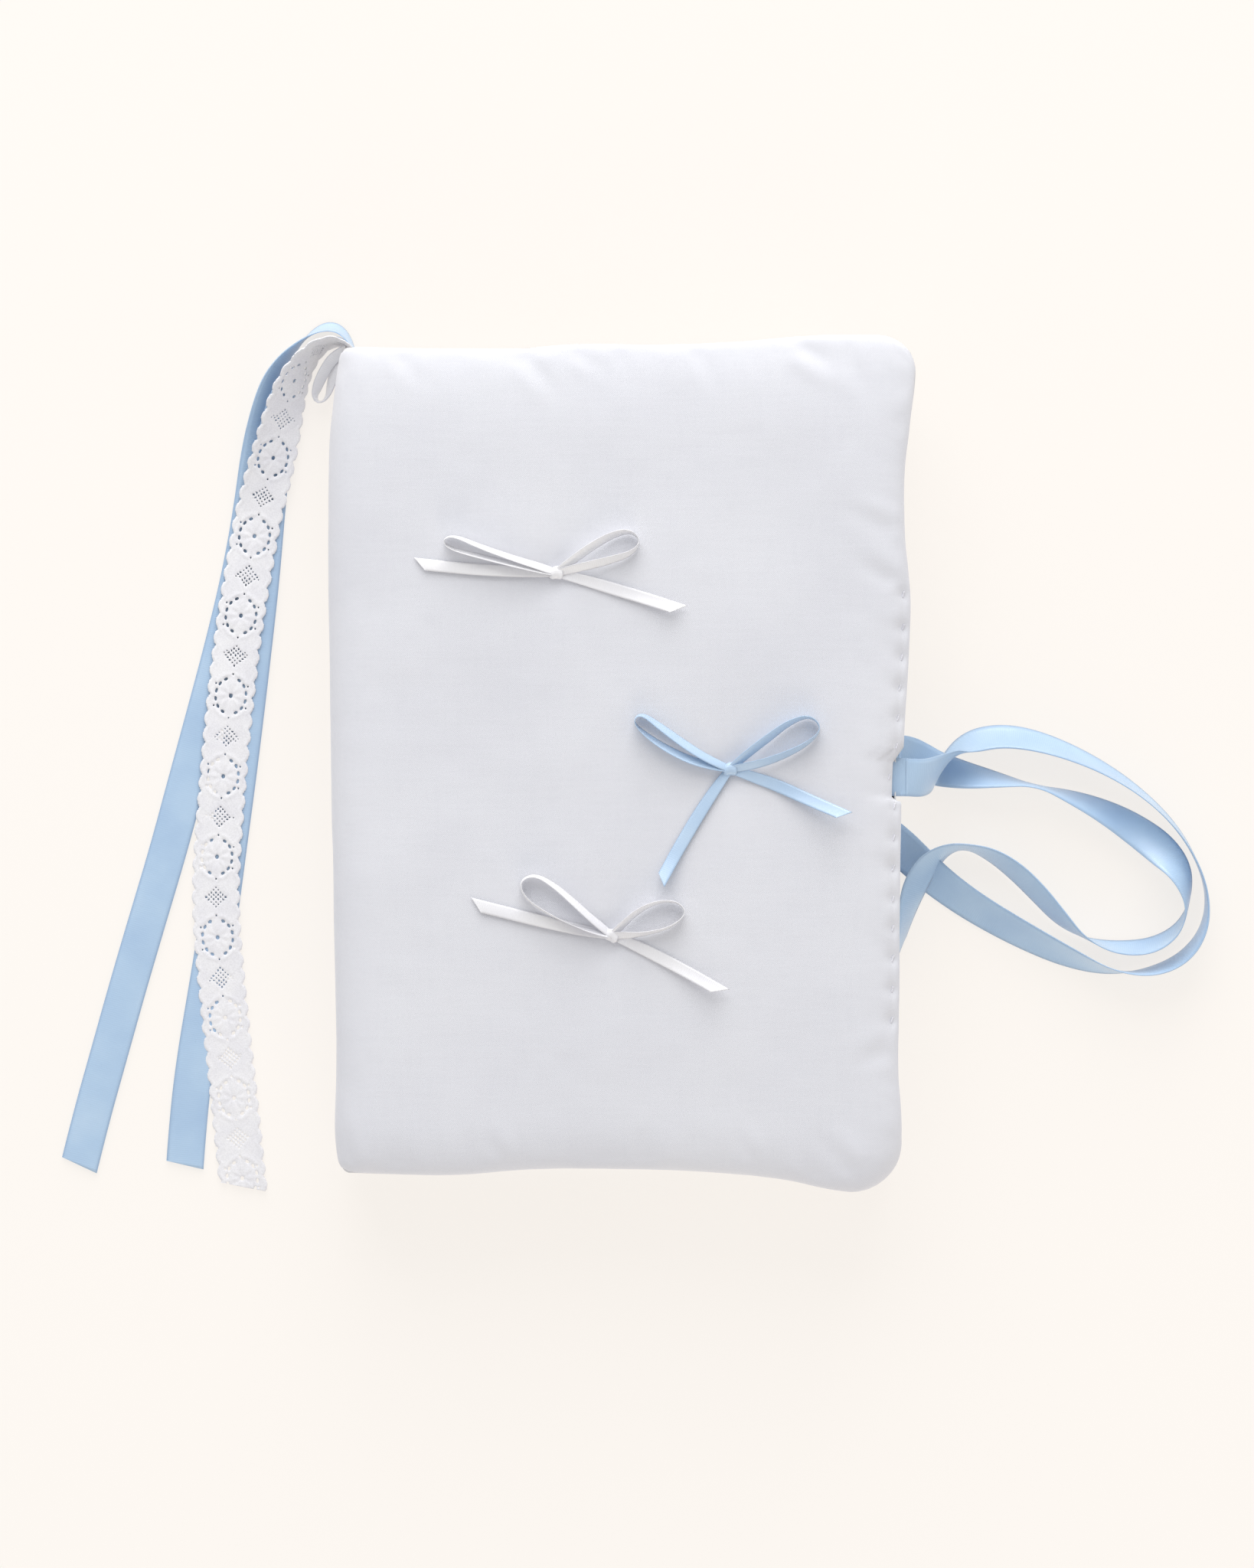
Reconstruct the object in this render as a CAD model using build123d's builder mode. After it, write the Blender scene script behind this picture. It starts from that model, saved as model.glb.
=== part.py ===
from build123d import *

# A prayer book in a padded cotton slip cover, closed and lying on its back cover.
# +X runs from the spine to the fore-edge, +Y from the tail to the head, +Z up through the pages.
# The origin is on the underside, at the middle of the covers' outline. Lengths are in millimetres.

import os
from math import radians, tan

os.makedirs("parts", exist_ok=True)

# ---- driving dimensions ----
cover_width = 152.0  # spine face to the front cover's fore-edge
front_height = 219.0  # head to tail of the front cover
back_height = 216.0
back_inset = 3.0  # the front cover overhangs the back one by this at the fore-edge
spine_height = 215.4

cloth = 0.6  # outer cotton, and the lining
wadding = 6.2
board = 2.2  # grey board of the book's case
endpaper = 0.3
sheets = 2.1  # one sewn signature
signatures = 6  # half of them turn with the front cover
fold_round = 0.35 * sheets  # the rounded folds at the spine
gap = 0.3  # between bodies that move apart

book_height = 211.0
board_spine_edge, board_fore_edge = -64.0, 71.0
page_spine_edge, page_fore_edge = -69.6, 68.4
page_height = 206.0

flap_inner_edge, flap_fore_edge = 8.0, 72.6  # the pocket flap that holds a board
flap_height = 214.4
flap_wall = 0.8

edge_round = 5.0  # the pads' soft outer edge
corner_round = 8.0
flap_corner_round, board_corner_round = 6.0, 3.0
lining_edge = 0.6  # the lining is turned in from the outer cloth's edge

spine_wadding, spine_board = 2.2, 1.7
hinge_from_lining, leaf_hinge_from_pages = 0.4, 0.5
hinge_clearance = 0.3
back_joint_z = 6.0  # where the cloth folds between the back cover and the spine
opened_lift = 2.5  # how far the opened front cover stands off the table, on its bows

ribbon_tube = 2.0  # plain tube along the middle of a 10 mm ribbon
narrow_tube = 1.2  # the same along a 3 mm ribbon
bow_ribbon, bow_height = 3.2, 2.2

# ---- levels through the closed book, from the table up ----
half_width = cover_width / 2
back_fore_edge = half_width - back_inset
back_lining_z = cloth + wadding
back_board_z = back_lining_z + cloth
back_endpaper_z = back_board_z + board
back_flap_z = back_endpaper_z + endpaper
rear_pages_z = back_flap_z + cloth
rear_signatures = signatures // 2
opening_z = rear_pages_z + rear_signatures * sheets + gap / 2  # the plane where the book opens
front_pages_z = opening_z + gap / 2
front_flap_z = front_pages_z + (signatures - rear_signatures) * (sheets + gap)
front_endpaper_z = front_flap_z + cloth
front_board_z = front_endpaper_z + endpaper
front_lining_z = front_board_z + board
front_wadding_z = front_lining_z + cloth
cover_top = front_wadding_z + wadding + cloth

# ---- the two cloth hinges and the leaves' hinge ----
spine_depth = cloth + spine_wadding + cloth + spine_board
hinge_x = -half_width + spine_depth + hinge_from_lining
front_joint_z = cover_top - back_joint_z + opened_lift
leaf_hinge_x = page_spine_edge - leaf_hinge_from_pages
covers_start = hinge_x + hinge_clearance
print("hinge x", hinge_x, "back joint z", back_joint_z, "front joint z", round(front_joint_z, 3))
print("leaf hinge", leaf_hinge_x, round(opening_z, 3), "top", round(cover_top, 3))


def save(piece, name):
    """Labels a finished piece and writes it as its own node."""
    piece.label = name
    export_step(piece, f"parts/{name}.step")


def outline(x_range, height, corner=0.0):
    """A rectangle on the book's long middle line, with its two fore-edge corners rounded."""
    with BuildSketch(mode=Mode.PRIVATE) as shape:
        with Locations(((x_range[0] + x_range[1]) / 2, 0)):
            Rectangle(x_range[1] - x_range[0], height)
        if corner:
            fillet(shape.vertices().group_by(Axis.X)[-1], corner)
    return shape.sketch


def slab(name, x_range, height, z_range, corner=0.0):
    """A flat sheet, centred on the book's long middle line."""
    with BuildPart() as sheet:
        with BuildSketch(Plane.XY.offset(z_range[0])):
            add(outline(x_range, height, corner))
        extrude(amount=z_range[1] - z_range[0])
    save(sheet.part, name)


def padded_shape(fore_edge, height, inset, z_from, thickness, rounded_up):
    """A cover's pad, with its outer edge rounded on the three sides away from the spine."""
    with BuildPart() as pad:
        with BuildSketch(Plane.XY.offset(z_from)):
            add(outline((covers_start, fore_edge - inset), height - 2 * inset, corner_round - inset))
        extrude(amount=thickness)
        outer = pad.faces().sort_by(Axis.Z)[-1 if rounded_up else 0]
        at_spine = outer.edges().sort_by(Axis.X)[0]
        fillet([e for e in outer.edges() if e.center().X > at_spine.center().X + 1], edge_round - inset)
    return pad.part


def padded_cover(side, fore_edge, height, z_from, rounded_up):
    """Outer cloth and wadding of one cover. The cloth is a tray over the wadding's outer face and edges."""
    wad_from = z_from if rounded_up else z_from + cloth
    wad = padded_shape(fore_edge, height, cloth, wad_from, wadding, rounded_up)
    save(wad, f"wadding_{side}")
    with BuildPart() as tray:
        add(padded_shape(fore_edge, height, 0, z_from, wadding + cloth, rounded_up))
        add(wad, mode=Mode.SUBTRACT)
    save(tray.part, f"outer_cover_{side}")


def pocket_flap(side, face_z, lining_z):
    """Lining cloth sewn on three sides, which holds the outer part of a board."""
    low, high = min(face_z, lining_z), max(face_z, lining_z)
    with BuildPart() as flap:
        with BuildSketch(Plane.XY.offset(low)):
            add(outline((flap_inner_edge, flap_fore_edge), flap_height, flap_corner_round))
        extrude(amount=high - low)
        pocket_from = low + cloth if face_z < lining_z else low
        with BuildSketch(Plane.XY.offset(pocket_from)):
            add(outline((flap_inner_edge, flap_fore_edge - flap_wall), flap_height - 2 * flap_wall,
                        flap_corner_round - flap_wall))
        extrude(amount=high - low - cloth, mode=Mode.SUBTRACT)
    save(flap.part, f"pocket_flap_{side}")


def book_case(side, board_z, endpaper_z):
    """One board of the book's own case, with the endpaper pasted on its inner face."""
    slab(f"{side}_board", (board_spine_edge, board_fore_edge), book_height, (board_z, board_z + board),
         board_corner_round)
    slab(f"endpaper_{side}", (page_spine_edge, page_fore_edge), page_height,
         (endpaper_z, endpaper_z + endpaper))


# ---- back cover, from the table up ----
padded_cover("back", back_fore_edge, back_height, 0, rounded_up=False)
slab("lining_back", (covers_start, back_fore_edge - lining_edge), back_height - 2 * lining_edge,
     (back_lining_z, back_board_z), corner_round)
book_case("back", back_board_z, back_endpaper_z)
pocket_flap("back", rear_pages_z, back_board_z)

# ---- front cover, from the pages up ----
book_case("front", front_board_z, front_endpaper_z)
pocket_flap("front", front_flap_z, front_lining_z)
slab("lining_front", (covers_start, half_width - lining_edge), front_height - 2 * lining_edge,
     (front_lining_z, front_wadding_z), corner_round)
padded_cover("front", half_width, front_height, front_wadding_z, rounded_up=True)

# ---- spine: cloth, thin wadding, lining and the case's spine strip ----
spine_z = (back_joint_z + hinge_clearance, front_joint_z - hinge_clearance)
spine_x = -half_width
spine_layers = (("outer_cover_spine", cloth), ("wadding_spine", spine_wadding), ("lining_spine", cloth))
for layer, thickness in spine_layers:
    slab(layer, (spine_x, spine_x + thickness), spine_height, spine_z)
    spine_x += thickness
slab("spine_board", (spine_x, spine_x + spine_board), book_height, (back_board_z, front_lining_z))

# ---- text block: sewn signatures, the mull glued over their folds, and the two end bands ----
for number in range(1, signatures + 1):
    turns = number <= signatures - rear_signatures
    if turns:
        low = front_pages_z + (signatures - rear_signatures - number) * (sheets + gap)
    else:
        low = rear_pages_z + (signatures - number) * sheets
    with BuildPart() as signature:
        with BuildSketch(Plane.XY.offset(low)):
            with Locations(((page_spine_edge + page_fore_edge) / 2, 0)):
                Rectangle(page_fore_edge - page_spine_edge, page_height)
        extrude(amount=sheets)
        folds = signature.edges().filter_by(Axis.Y).group_by(Axis.X)[0]
        fillet(folds, fold_round)
    save(signature.part, f"signature_{number}")

rear_pages_top = rear_pages_z + rear_signatures * sheets
mull, mull_margin = 0.4, 10.0  # the open cloth glued down the folds stops short of head and tail
slab("mull", (page_spine_edge - mull, page_spine_edge), page_height - 2 * mull_margin,
     (rear_pages_z, rear_pages_top - gap))

band_width, band_radius = 1.6, 0.7
for band, side in (("head_band", 1), ("tail_band", -1)):
    with BuildPart() as end_band:
        with BuildSketch(Plane.XY.offset(rear_pages_z)):
            with Locations((page_spine_edge + band_width, side * (page_height / 2 + band_radius))):
                Circle(band_radius)
        extrude(amount=rear_signatures * sheets)
    save(end_band.part, band)

# ---- hand stitches that close the turning gap near the front cover's fore-edge ----
stitch_pitch, stitch_count, stitch_top_y = 7.95, 15, 43.5
stitch_inset = 2.4
stitch_width, stitch_length, stitch_depth = 0.5, 1.4, 0.6
stitch_z = cover_top - edge_round + (edge_round**2 - (edge_round - stitch_inset) ** 2) ** 0.5
with BuildPart() as closing_stitches:
    stitch_middle_y = stitch_top_y - stitch_pitch * (stitch_count - 1) / 2
    with Locations((half_width - stitch_inset, stitch_middle_y, stitch_z)):
        with GridLocations(1, stitch_pitch, 1, stitch_count):
            Box(stitch_width, stitch_length, stitch_depth)
save(closing_stitches.part, "closing_stitches")

# ---- three tied bows on the front cover, each one length of 3 mm satin ribbon ----
# name: knot, ends of the two tails, tips of the two loops
bows = {
    "bow_upper": ((-17.0, 49.4), ((-52.5, 51.4), (14.8, 40.4)), ((-44.6, 57.4), (3.6, 57.8))),
    "bow_middle": ((28.7, -1.6), ((10.5, -31.0), (58.8, -13.8)), ((5.6, 10.2), (50.2, 8.8))),
    "bow_lower": ((-2.5, -45.7), ((-38.0, -37.4), (26.8, -59.8)), ((-24.0, -31.8), (14.2, -38.4))),
}
knot_length, knot_width = 4.6, 4.0
tail_thickness, loop_wall, loop_half_width = 0.4, 0.7, 2.4
loop_widest = 0.6  # where a loop is widest, as a share of its length
for bow_name, (knot, tails, loops) in bows.items():
    middle = Vector(*knot)
    with BuildPart() as bow:
        with BuildSketch(Plane.XY.offset(cover_top)):
            for tail in tails:
                with BuildLine():
                    Line(middle, Vector(*tail))
                trace(line_width=bow_ribbon)
        extrude(amount=tail_thickness)
        with BuildSketch(Plane.XY.offset(cover_top)):
            for loop in loops:
                along = Vector(*loop) - middle
                across = Vector(-along.Y, along.X).normalized() * loop_half_width
                widest = middle + along * loop_widest
                with BuildLine():
                    Polyline(middle, widest + across, middle + along, widest - across, middle)
                trace(line_width=loop_wall)
        extrude(amount=bow_height)
        with Locations((middle.X, middle.Y, cover_top + bow_height / 2)):
            Box(knot_length, knot_width, bow_height)
    save(bow.part, bow_name)

with BuildPart() as bow_tacks:
    tack_radius, tack_depth = 0.4, 0.6
    with BuildSketch(Plane.XY.offset(cover_top - tack_depth)):
        with Locations(*[knot for knot, tails, loops in bows.values()]):
            Circle(tack_radius)
    extrude(amount=2 * tack_depth)
save(bow_tacks.part, "bow_tacks")

# ---- sewn tabs where the ribbons leave the cloth ----
tab_width, tab_height = 10.4, 2.5
tab_start, front_tab_end, back_tab_end = 72.8, half_width - 0.1, 74.6
front_tie_y, back_tie_y = -4.1, 2.2
ribbon_in_tab = 1.3  # from the tab's face on the lining to the ribbon's middle
front_tie_z, back_tie_z = front_lining_z - ribbon_in_tab, back_board_z + ribbon_in_tab
tabs = {
    "tie_tack_front": ((tab_start, front_tab_end), (front_tie_y - tab_width / 2, front_tie_y + tab_width / 2),
                       (front_lining_z - tab_height, front_lining_z)),
    "tie_tack_back": ((tab_start, back_tab_end), (back_tie_y - tab_width / 2, back_tie_y + tab_width / 2),
                      (back_board_z, back_board_z + tab_height)),
    "bookmark_tack": ((-72.6, -69.4), (back_height / 2, front_height / 2), (2.0, 10.2)),
}
for tab_name, (x_range, y_range, z_range) in tabs.items():
    with BuildPart() as tab:
        with BuildSketch(Plane.XY.offset(z_range[0])):
            with Locations(((x_range[0] + x_range[1]) / 2, (y_range[0] + y_range[1]) / 2)):
                Rectangle(x_range[1] - x_range[0], y_range[1] - y_range[0])
        extrude(amount=z_range[1] - z_range[0])
    save(tab.part, tab_name)

# ---- ribbons and lace: each a plain tube along the middle line of the real band ----
lies = ribbon_tube / 2 + 0.05  # height of a tube's middle where it lies on the table
over = 3.5  # the same where the lace lies on the bookmark ribbons
hump = 5.1  # where one tie ribbon passes over the other
head_y = front_height / 2
routes = {
    "tie_ribbon_front": [
        (front_tab_end, front_tie_y, front_tie_z), (80.0, -4.1, 25.2), (83.6, -2.4, 19.0),
        (86.2, 0.4, 10.5), (90.0, 3.8, 3.6), (97.0, 6.4, lies), (107.1, 6.2, lies), (117.6, 3.4, lies),
        (128.6, -1.2, lies), (139.2, -7.8, lies), (147.4, -15.6, lies), (153.2, -24.8, lies),
        (156.5, -34.8, lies), (155.6, -44.6, lies), (150.0, -52.2, lies), (141.2, -56.1, lies),
        (130.4, -56.2, lies), (118.6, -52.0, lies), (106.4, -45.9, lies), (94.0, -38.8, lies),
        (84.8, -32.2, lies), (78.6, -26.4, lies), (74.6, -22.2, lies),
    ],
    "tie_ribbon_back": [
        (back_tab_end, back_tie_y, back_tie_z), (77.0, 1.9, 7.6), (80.4, -0.2, 4.0), (85.4, -3.0, lies),
        (93.0, -4.1, lies), (102.4, -5.0, lies), (111.6, -6.4, lies), (120.0, -8.8, lies),
        (128.4, -12.2, lies), (136.6, -17.4, lies), (143.6, -22.9, lies), (149.4, -29.6, lies),
        (151.9, -37.4, lies), (148.6, -44.8, lies), (140.8, -49.0, lies), (131.6, -49.6, lies),
        (123.6, -47.2, lies), (117.0, -41.8, lies), (111.2, -35.0, lies), (105.4, -29.0, lies),
        (98.8, -24.4, lies), (91.8, -22.3, 1.6), (86.4, -23.2, 3.4), (82.6, -26.0, hump),
        (79.6, -30.0, hump), (77.2, -35.2, 2.8), (75.6, -42.6, lies), (74.6, -51.6, lies),
    ],
    "bookmark_ribbon_left": [
        (-71.0, head_y, 3.6), (-72.6, 113.8, 3.6), (-77.4, 116.6, 3.2), (-83.4, 115.6, 2.6),
        (-88.6, 111.0, 2.0), (-92.9, 104.3, 1.4), (-95.6, 96.2, lies), (-96.2, 84.0, lies),
        (-98.0, 68.0, lies), (-101.3, 50.0, lies), (-105.6, 32.0, lies), (-110.4, 14.0, lies),
        (-115.6, -5.0, lies), (-120.7, -24.0, lies), (-126.1, -42.0, lies), (-131.4, -60.0, lies),
        (-136.7, -79.0, lies), (-141.4, -95.0, lies), (-144.5, -108.0, lies),
    ],
    "bookmark_ribbon_right": [
        (-71.0, head_y, 6.2), (-72.4, 113.2, 6.2), (-77.0, 115.2, 5.6), (-82.2, 114.0, 4.6),
        (-86.8, 109.6, 3.4), (-90.3, 103.0, 2.2), (-92.2, 95.0, 1.4), (-92.6, 83.0, lies),
        (-93.9, 67.0, lies), (-95.5, 49.0, lies), (-97.6, 32.0, lies), (-99.9, 14.0, lies),
        (-102.2, -4.5, lies), (-104.7, -23.0, lies), (-107.1, -41.5, lies), (-110.1, -60.0, lies),
        (-113.2, -78.0, lies), (-115.1, -94.0, lies), (-116.0, -106.5, lies),
    ],
    "bookmark_lace": [
        (-71.0, head_y, 8.8), (-72.2, 112.4, 8.8), (-76.3, 113.6, 8.4), (-80.6, 112.0, 7.6),
        (-84.6, 107.8, 6.4), (-87.3, 101.5, 5.0), (-88.9, 94.0, 4.2), (-91.4, 84.6, 3.6),
        (-94.0, 74.6, over), (-96.8, 64.0, over), (-98.8, 53.0, over), (-100.9, 41.0, over),
        (-102.7, 28.0, over), (-104.3, 14.0, over), (-105.6, 0.0, over), (-106.8, -14.5, over),
        (-107.8, -28.0, over), (-107.9, -40.0, over), (-107.1, -51.0, over), (-106.2, -63.0, 2.4),
        (-104.7, -76.0, lies), (-103.2, -89.0, lies), (-102.0, -101.0, lies), (-100.7, -111.4, lies),
    ],
    "bookmark_loop": [
        (-72.6, 108.9, 8.2), (-77.0, 109.2, 7.6), (-80.3, 105.2, 5.8), (-81.4, 99.4, 3.4),
        (-80.6, 95.4, 1.5), (-78.6, 95.6, 1.3), (-78.1, 100.2, 2.6), (-77.9, 105.2, 4.0),
        (-76.6, 108.4, 4.8), (-72.6, 108.9, 5.2),
    ],
}
bend_share = 0.45  # of the shorter run beside a bend, so that neighbouring bends don't meet
for cord_name, route in routes.items():
    points = [Vector(*p) for p in route]
    radii = []
    for before, here, after in zip(points, points[1:], points[2:]):
        run_in, run_out = here - before, after - here
        half_turn = radians(run_in.get_angle(run_out)) / 2
        radii.append(bend_share * min(run_in.length, run_out.length) / tan(half_turn))
    tube_size = narrow_tube if cord_name == "bookmark_loop" else ribbon_tube
    with BuildPart() as cord:
        with BuildLine():
            middle_line = FilletPolyline(*points, radius=radii)
        with BuildSketch(Plane(origin=middle_line @ 0, z_dir=middle_line % 0)) as section:
            Circle(tube_size / 2)
        sweep()
    expected = section.sketch.area * middle_line.length
    print(cord_name, "length", round(middle_line.length, 1), "volume", round(cord.part.volume, 1),
          "of", round(expected, 1), "smallest radius", round(min(radii), 1))
    print("  radii", [round(r, 1) for r in radii])
    save(cord.part, cord_name)
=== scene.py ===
"""The looks of the prayer book: padded cotton, satin ribbons, lace and paper, round the CAD frame."""
import math

import bpy
import numpy as np
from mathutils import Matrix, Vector
from mathutils.bvhtree import BVHTree


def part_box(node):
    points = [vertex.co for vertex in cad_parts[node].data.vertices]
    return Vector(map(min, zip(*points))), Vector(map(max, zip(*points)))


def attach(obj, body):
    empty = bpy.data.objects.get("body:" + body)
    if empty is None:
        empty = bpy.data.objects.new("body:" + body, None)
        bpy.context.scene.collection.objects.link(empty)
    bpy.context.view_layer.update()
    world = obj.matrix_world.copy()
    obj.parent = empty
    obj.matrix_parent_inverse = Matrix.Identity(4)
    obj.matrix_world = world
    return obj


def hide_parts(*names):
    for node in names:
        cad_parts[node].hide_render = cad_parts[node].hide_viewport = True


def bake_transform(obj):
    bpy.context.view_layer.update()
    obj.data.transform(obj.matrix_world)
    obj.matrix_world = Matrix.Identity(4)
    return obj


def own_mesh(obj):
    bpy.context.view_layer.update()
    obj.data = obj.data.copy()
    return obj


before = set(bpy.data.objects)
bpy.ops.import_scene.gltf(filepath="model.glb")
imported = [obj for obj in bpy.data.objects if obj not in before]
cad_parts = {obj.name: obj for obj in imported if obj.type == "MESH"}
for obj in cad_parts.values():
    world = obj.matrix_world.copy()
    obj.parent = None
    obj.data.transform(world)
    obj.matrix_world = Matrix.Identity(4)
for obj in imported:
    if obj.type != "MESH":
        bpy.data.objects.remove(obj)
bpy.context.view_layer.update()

MM = 0.001
SCENE = bpy.context.scene

# ------------------------------------------------ camera
# It looks straight down. The view is 415 mm tall at mid-height of the book.
VIEW_CENTRE = (0.0016, -0.0059)
VIEW_HEIGHT = 0.4147
VIEW_PLANE = 0.017
LENS_MM = 200.0
SENSOR_MM = 36.0


def add_camera():
    data = bpy.data.cameras.new("camera")
    data.lens = LENS_MM
    data.sensor_width = SENSOR_MM
    data.clip_end = 20.0
    camera = bpy.data.objects.new("camera", data)
    distance = VIEW_HEIGHT * LENS_MM / SENSOR_MM
    camera.location = (*VIEW_CENTRE, VIEW_PLANE + distance)
    SCENE.collection.objects.link(camera)
    SCENE.camera = camera


add_camera()


# ------------------------------------------------ small tools
def smoothstep(a, b, x):
    t = np.clip((np.asarray(x, float) - a) / (b - a), 0, 1)
    return t * t * (3 - 2 * t)


def curve_through(knots):
    """A smooth function through given (position, value) knots: cubic pieces with averaged slopes."""
    px, py = np.array(knots, float).T
    slope = np.diff(py) / np.diff(px)
    m = np.concatenate([[slope[0]], (slope[1:] + slope[:-1]) / 2, [slope[-1]]])

    def value(x):
        x = np.clip(np.asarray(x, float), px[0], px[-1])
        i = np.clip(np.searchsorted(px, x, "right") - 1, 0, len(px) - 2)
        h = px[i + 1] - px[i]
        t = (x - px[i]) / h
        return (
            (1 + 2 * t) * (1 - t) ** 2 * py[i] + t * (1 - t) ** 2 * h * m[i]
            + t * t * (3 - 2 * t) * py[i + 1] + t * t * (t - 1) * h * m[i + 1]
        )

    return value


def soft_noise(x, y, cell, seed):
    """Smooth noise from -1 to 1 with features about one cell wide."""
    table = np.random.RandomState(seed).uniform(-1, 1, (256, 256))
    u, v = np.asarray(x, float) / cell + 97, np.asarray(y, float) / cell + 61
    i, j = np.floor(u).astype(int), np.floor(v).astype(int)
    s, t = u - i, v - j
    s, t = s * s * (3 - 2 * s), t * t * (3 - 2 * t)
    a, b = table[i % 256, j % 256], table[(i + 1) % 256, j % 256]
    c, d = table[i % 256, (j + 1) % 256], table[(i + 1) % 256, (j + 1) % 256]
    return (a * (1 - s) + b * s) * (1 - t) + (c * (1 - s) + d * s) * t


def make_object(name, points, faces, smooth=True, **attributes):
    """A mesh from points in millimetres. Each attribute is a number or a vector per point."""
    mesh = bpy.data.meshes.new(name)
    mesh.from_pydata((np.asarray(points, float).reshape(-1, 3) * MM).tolist(), [], faces)
    mesh.polygons.foreach_set("use_smooth", np.full(len(mesh.polygons), smooth))
    for key, values in attributes.items():
        vectors = np.size(values) == 3 * len(mesh.vertices)
        layer = mesh.attributes.new(key, "FLOAT_VECTOR" if vectors else "FLOAT", "POINT")
        layer.data.foreach_set("vector" if vectors else "value", np.asarray(values, np.float32).ravel())
    obj = bpy.data.objects.new(name, mesh)
    SCENE.collection.objects.link(obj)
    return obj


def grid_faces(rows, columns, start=0, flip=False, closed=False):
    """Quads over a grid of points stored row by row. closed joins the last column to the first."""
    i, j = np.meshgrid(np.arange(rows - 1), np.arange(columns if closed else columns - 1), indexing="ij")
    k = (j + 1) % columns
    a, b = start + i * columns + j, start + i * columns + k
    c, d = start + (i + 1) * columns + k, start + (i + 1) * columns + j
    quads = np.stack([a, d, c, b] if flip else [a, b, c, d], -1)
    return quads.reshape(-1, 4).tolist()


def closed_slab(top, bottom):
    """Joins two grids of the same size, one above the other, into a closed piece."""
    rows, columns = top.shape[:2]
    count = rows * columns
    faces = grid_faces(rows, columns, flip=True) + grid_faces(rows, columns, count)
    ring = ([(0, j) for j in range(columns)] + [(i, columns - 1) for i in range(1, rows)]
            + [(rows - 1, j) for j in range(columns - 2, -1, -1)] + [(i, 0) for i in range(rows - 2, 0, -1)])
    index = [i * columns + j for i, j in ring]
    faces += [[q, q + count, p + count, p] for p, q in zip(index, index[1:] + index[:1])]
    return np.concatenate([top.reshape(-1, 3), bottom.reshape(-1, 3)]), faces


def grid_normals(grid):
    du, dv = np.gradient(grid, axis=0), np.gradient(grid, axis=1)
    n = np.cross(du, dv)
    return n / np.maximum(np.linalg.norm(n, axis=-1, keepdims=True), 1e-9)


def spline_line(points, resolution=14):
    """The NURBS spline with these control points in millimetres, as points along it."""
    data = bpy.data.curves.new("route", "CURVE")
    data.dimensions = "3D"
    data.resolution_u = resolution
    spline = data.splines.new("NURBS")
    spline.points.add(len(points) - 1)
    for point, (x, y, z) in zip(spline.points, points):
        point.co = (x * MM, y * MM, z * MM, 1)
    spline.order_u = 3
    spline.use_endpoint_u = True
    obj = bpy.data.objects.new("route", data)
    SCENE.collection.objects.link(obj)
    bpy.context.view_layer.update()
    mesh = bpy.data.meshes.new_from_object(obj)
    line = np.array([v.co for v in mesh.vertices]) / MM
    bpy.data.objects.remove(obj)
    bpy.data.curves.remove(data)
    bpy.data.meshes.remove(mesh)
    return line


# ------------------------------------------------ materials
class Shading:
    """A Principled material and the nodes that feed it. Even values are set on its sockets."""

    def __init__(self, name, colour, roughness, **sockets):
        self.material = bpy.data.materials.new(name)
        self.material.use_nodes = True
        self.nodes, self.links = self.material.node_tree.nodes, self.material.node_tree.links
        self.inputs = self.nodes["Principled BSDF"].inputs
        self.inputs["Base Color"].default_value = (*colour, 1)
        self.inputs["Roughness"].default_value = roughness
        for key, value in sockets.items():
            self.inputs[key.replace("_", " ")].default_value = value

    def feed(self, socket, value):
        """Sets a socket to a number or colour, or links it to another node's output."""
        if isinstance(value, bpy.types.NodeSocket):
            self.links.new(value, socket)
        else:
            socket.default_value = (*value, 1) if isinstance(value, tuple) else value

    def maths(self, operation, *values):
        node = self.nodes.new("ShaderNodeMath")
        node.operation = operation
        for socket, value in zip(node.inputs, values):
            self.feed(socket, value)
        return node.outputs[0]

    def attribute(self, name, output="Fac"):
        node = self.nodes.new("ShaderNodeAttribute")
        node.attribute_name = name
        return node.outputs[output]

    def noise(self, scale, detail, stretch=(1, 1, 1)):
        coordinates = self.nodes.new("ShaderNodeTexCoord")
        mapping = self.nodes.new("ShaderNodeMapping")
        mapping.inputs["Scale"].default_value = stretch
        self.links.new(coordinates.outputs["Object"], mapping.inputs["Vector"])
        noise = self.nodes.new("ShaderNodeTexNoise")
        noise.inputs["Scale"].default_value = scale
        noise.inputs["Detail"].default_value = detail
        self.links.new(mapping.outputs[0], noise.inputs["Vector"])
        return noise.outputs["Fac"]

    def ramp(self, factor, *stops):
        ramp = self.nodes.new("ShaderNodeValToRGB")
        while len(ramp.color_ramp.elements) < len(stops):
            ramp.color_ramp.elements.new(0.5)
        for element, (position, colour) in zip(ramp.color_ramp.elements, stops):
            element.position = position
            element.color = (*colour, 1)
        self.links.new(factor, ramp.inputs["Fac"])
        return ramp.outputs["Color"]

    def mix(self, factor, a, b, blend="MIX"):
        mix = self.nodes.new("ShaderNodeMix")
        mix.data_type = "RGBA"
        mix.blend_type = blend
        self.feed(mix.inputs["Factor"], factor)
        for key, value in (("A", a), ("B", b)):
            self.feed([s for s in mix.inputs if s.name == key and s.type == "RGBA"][0], value)
        return [s for s in mix.outputs if s.type == "RGBA"][0]

    def finish(self, base, height, strength, depth):
        """Links the base colour, and a bump whose depth is in metres."""
        bump = self.nodes.new("ShaderNodeBump")
        bump.inputs["Strength"].default_value = strength
        bump.inputs["Distance"].default_value = depth
        self.links.new(height, bump.inputs["Height"])
        self.links.new(bump.outputs["Normal"], self.inputs["Normal"])
        self.links.new(base, self.inputs["Base Color"])
        return self.material


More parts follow.
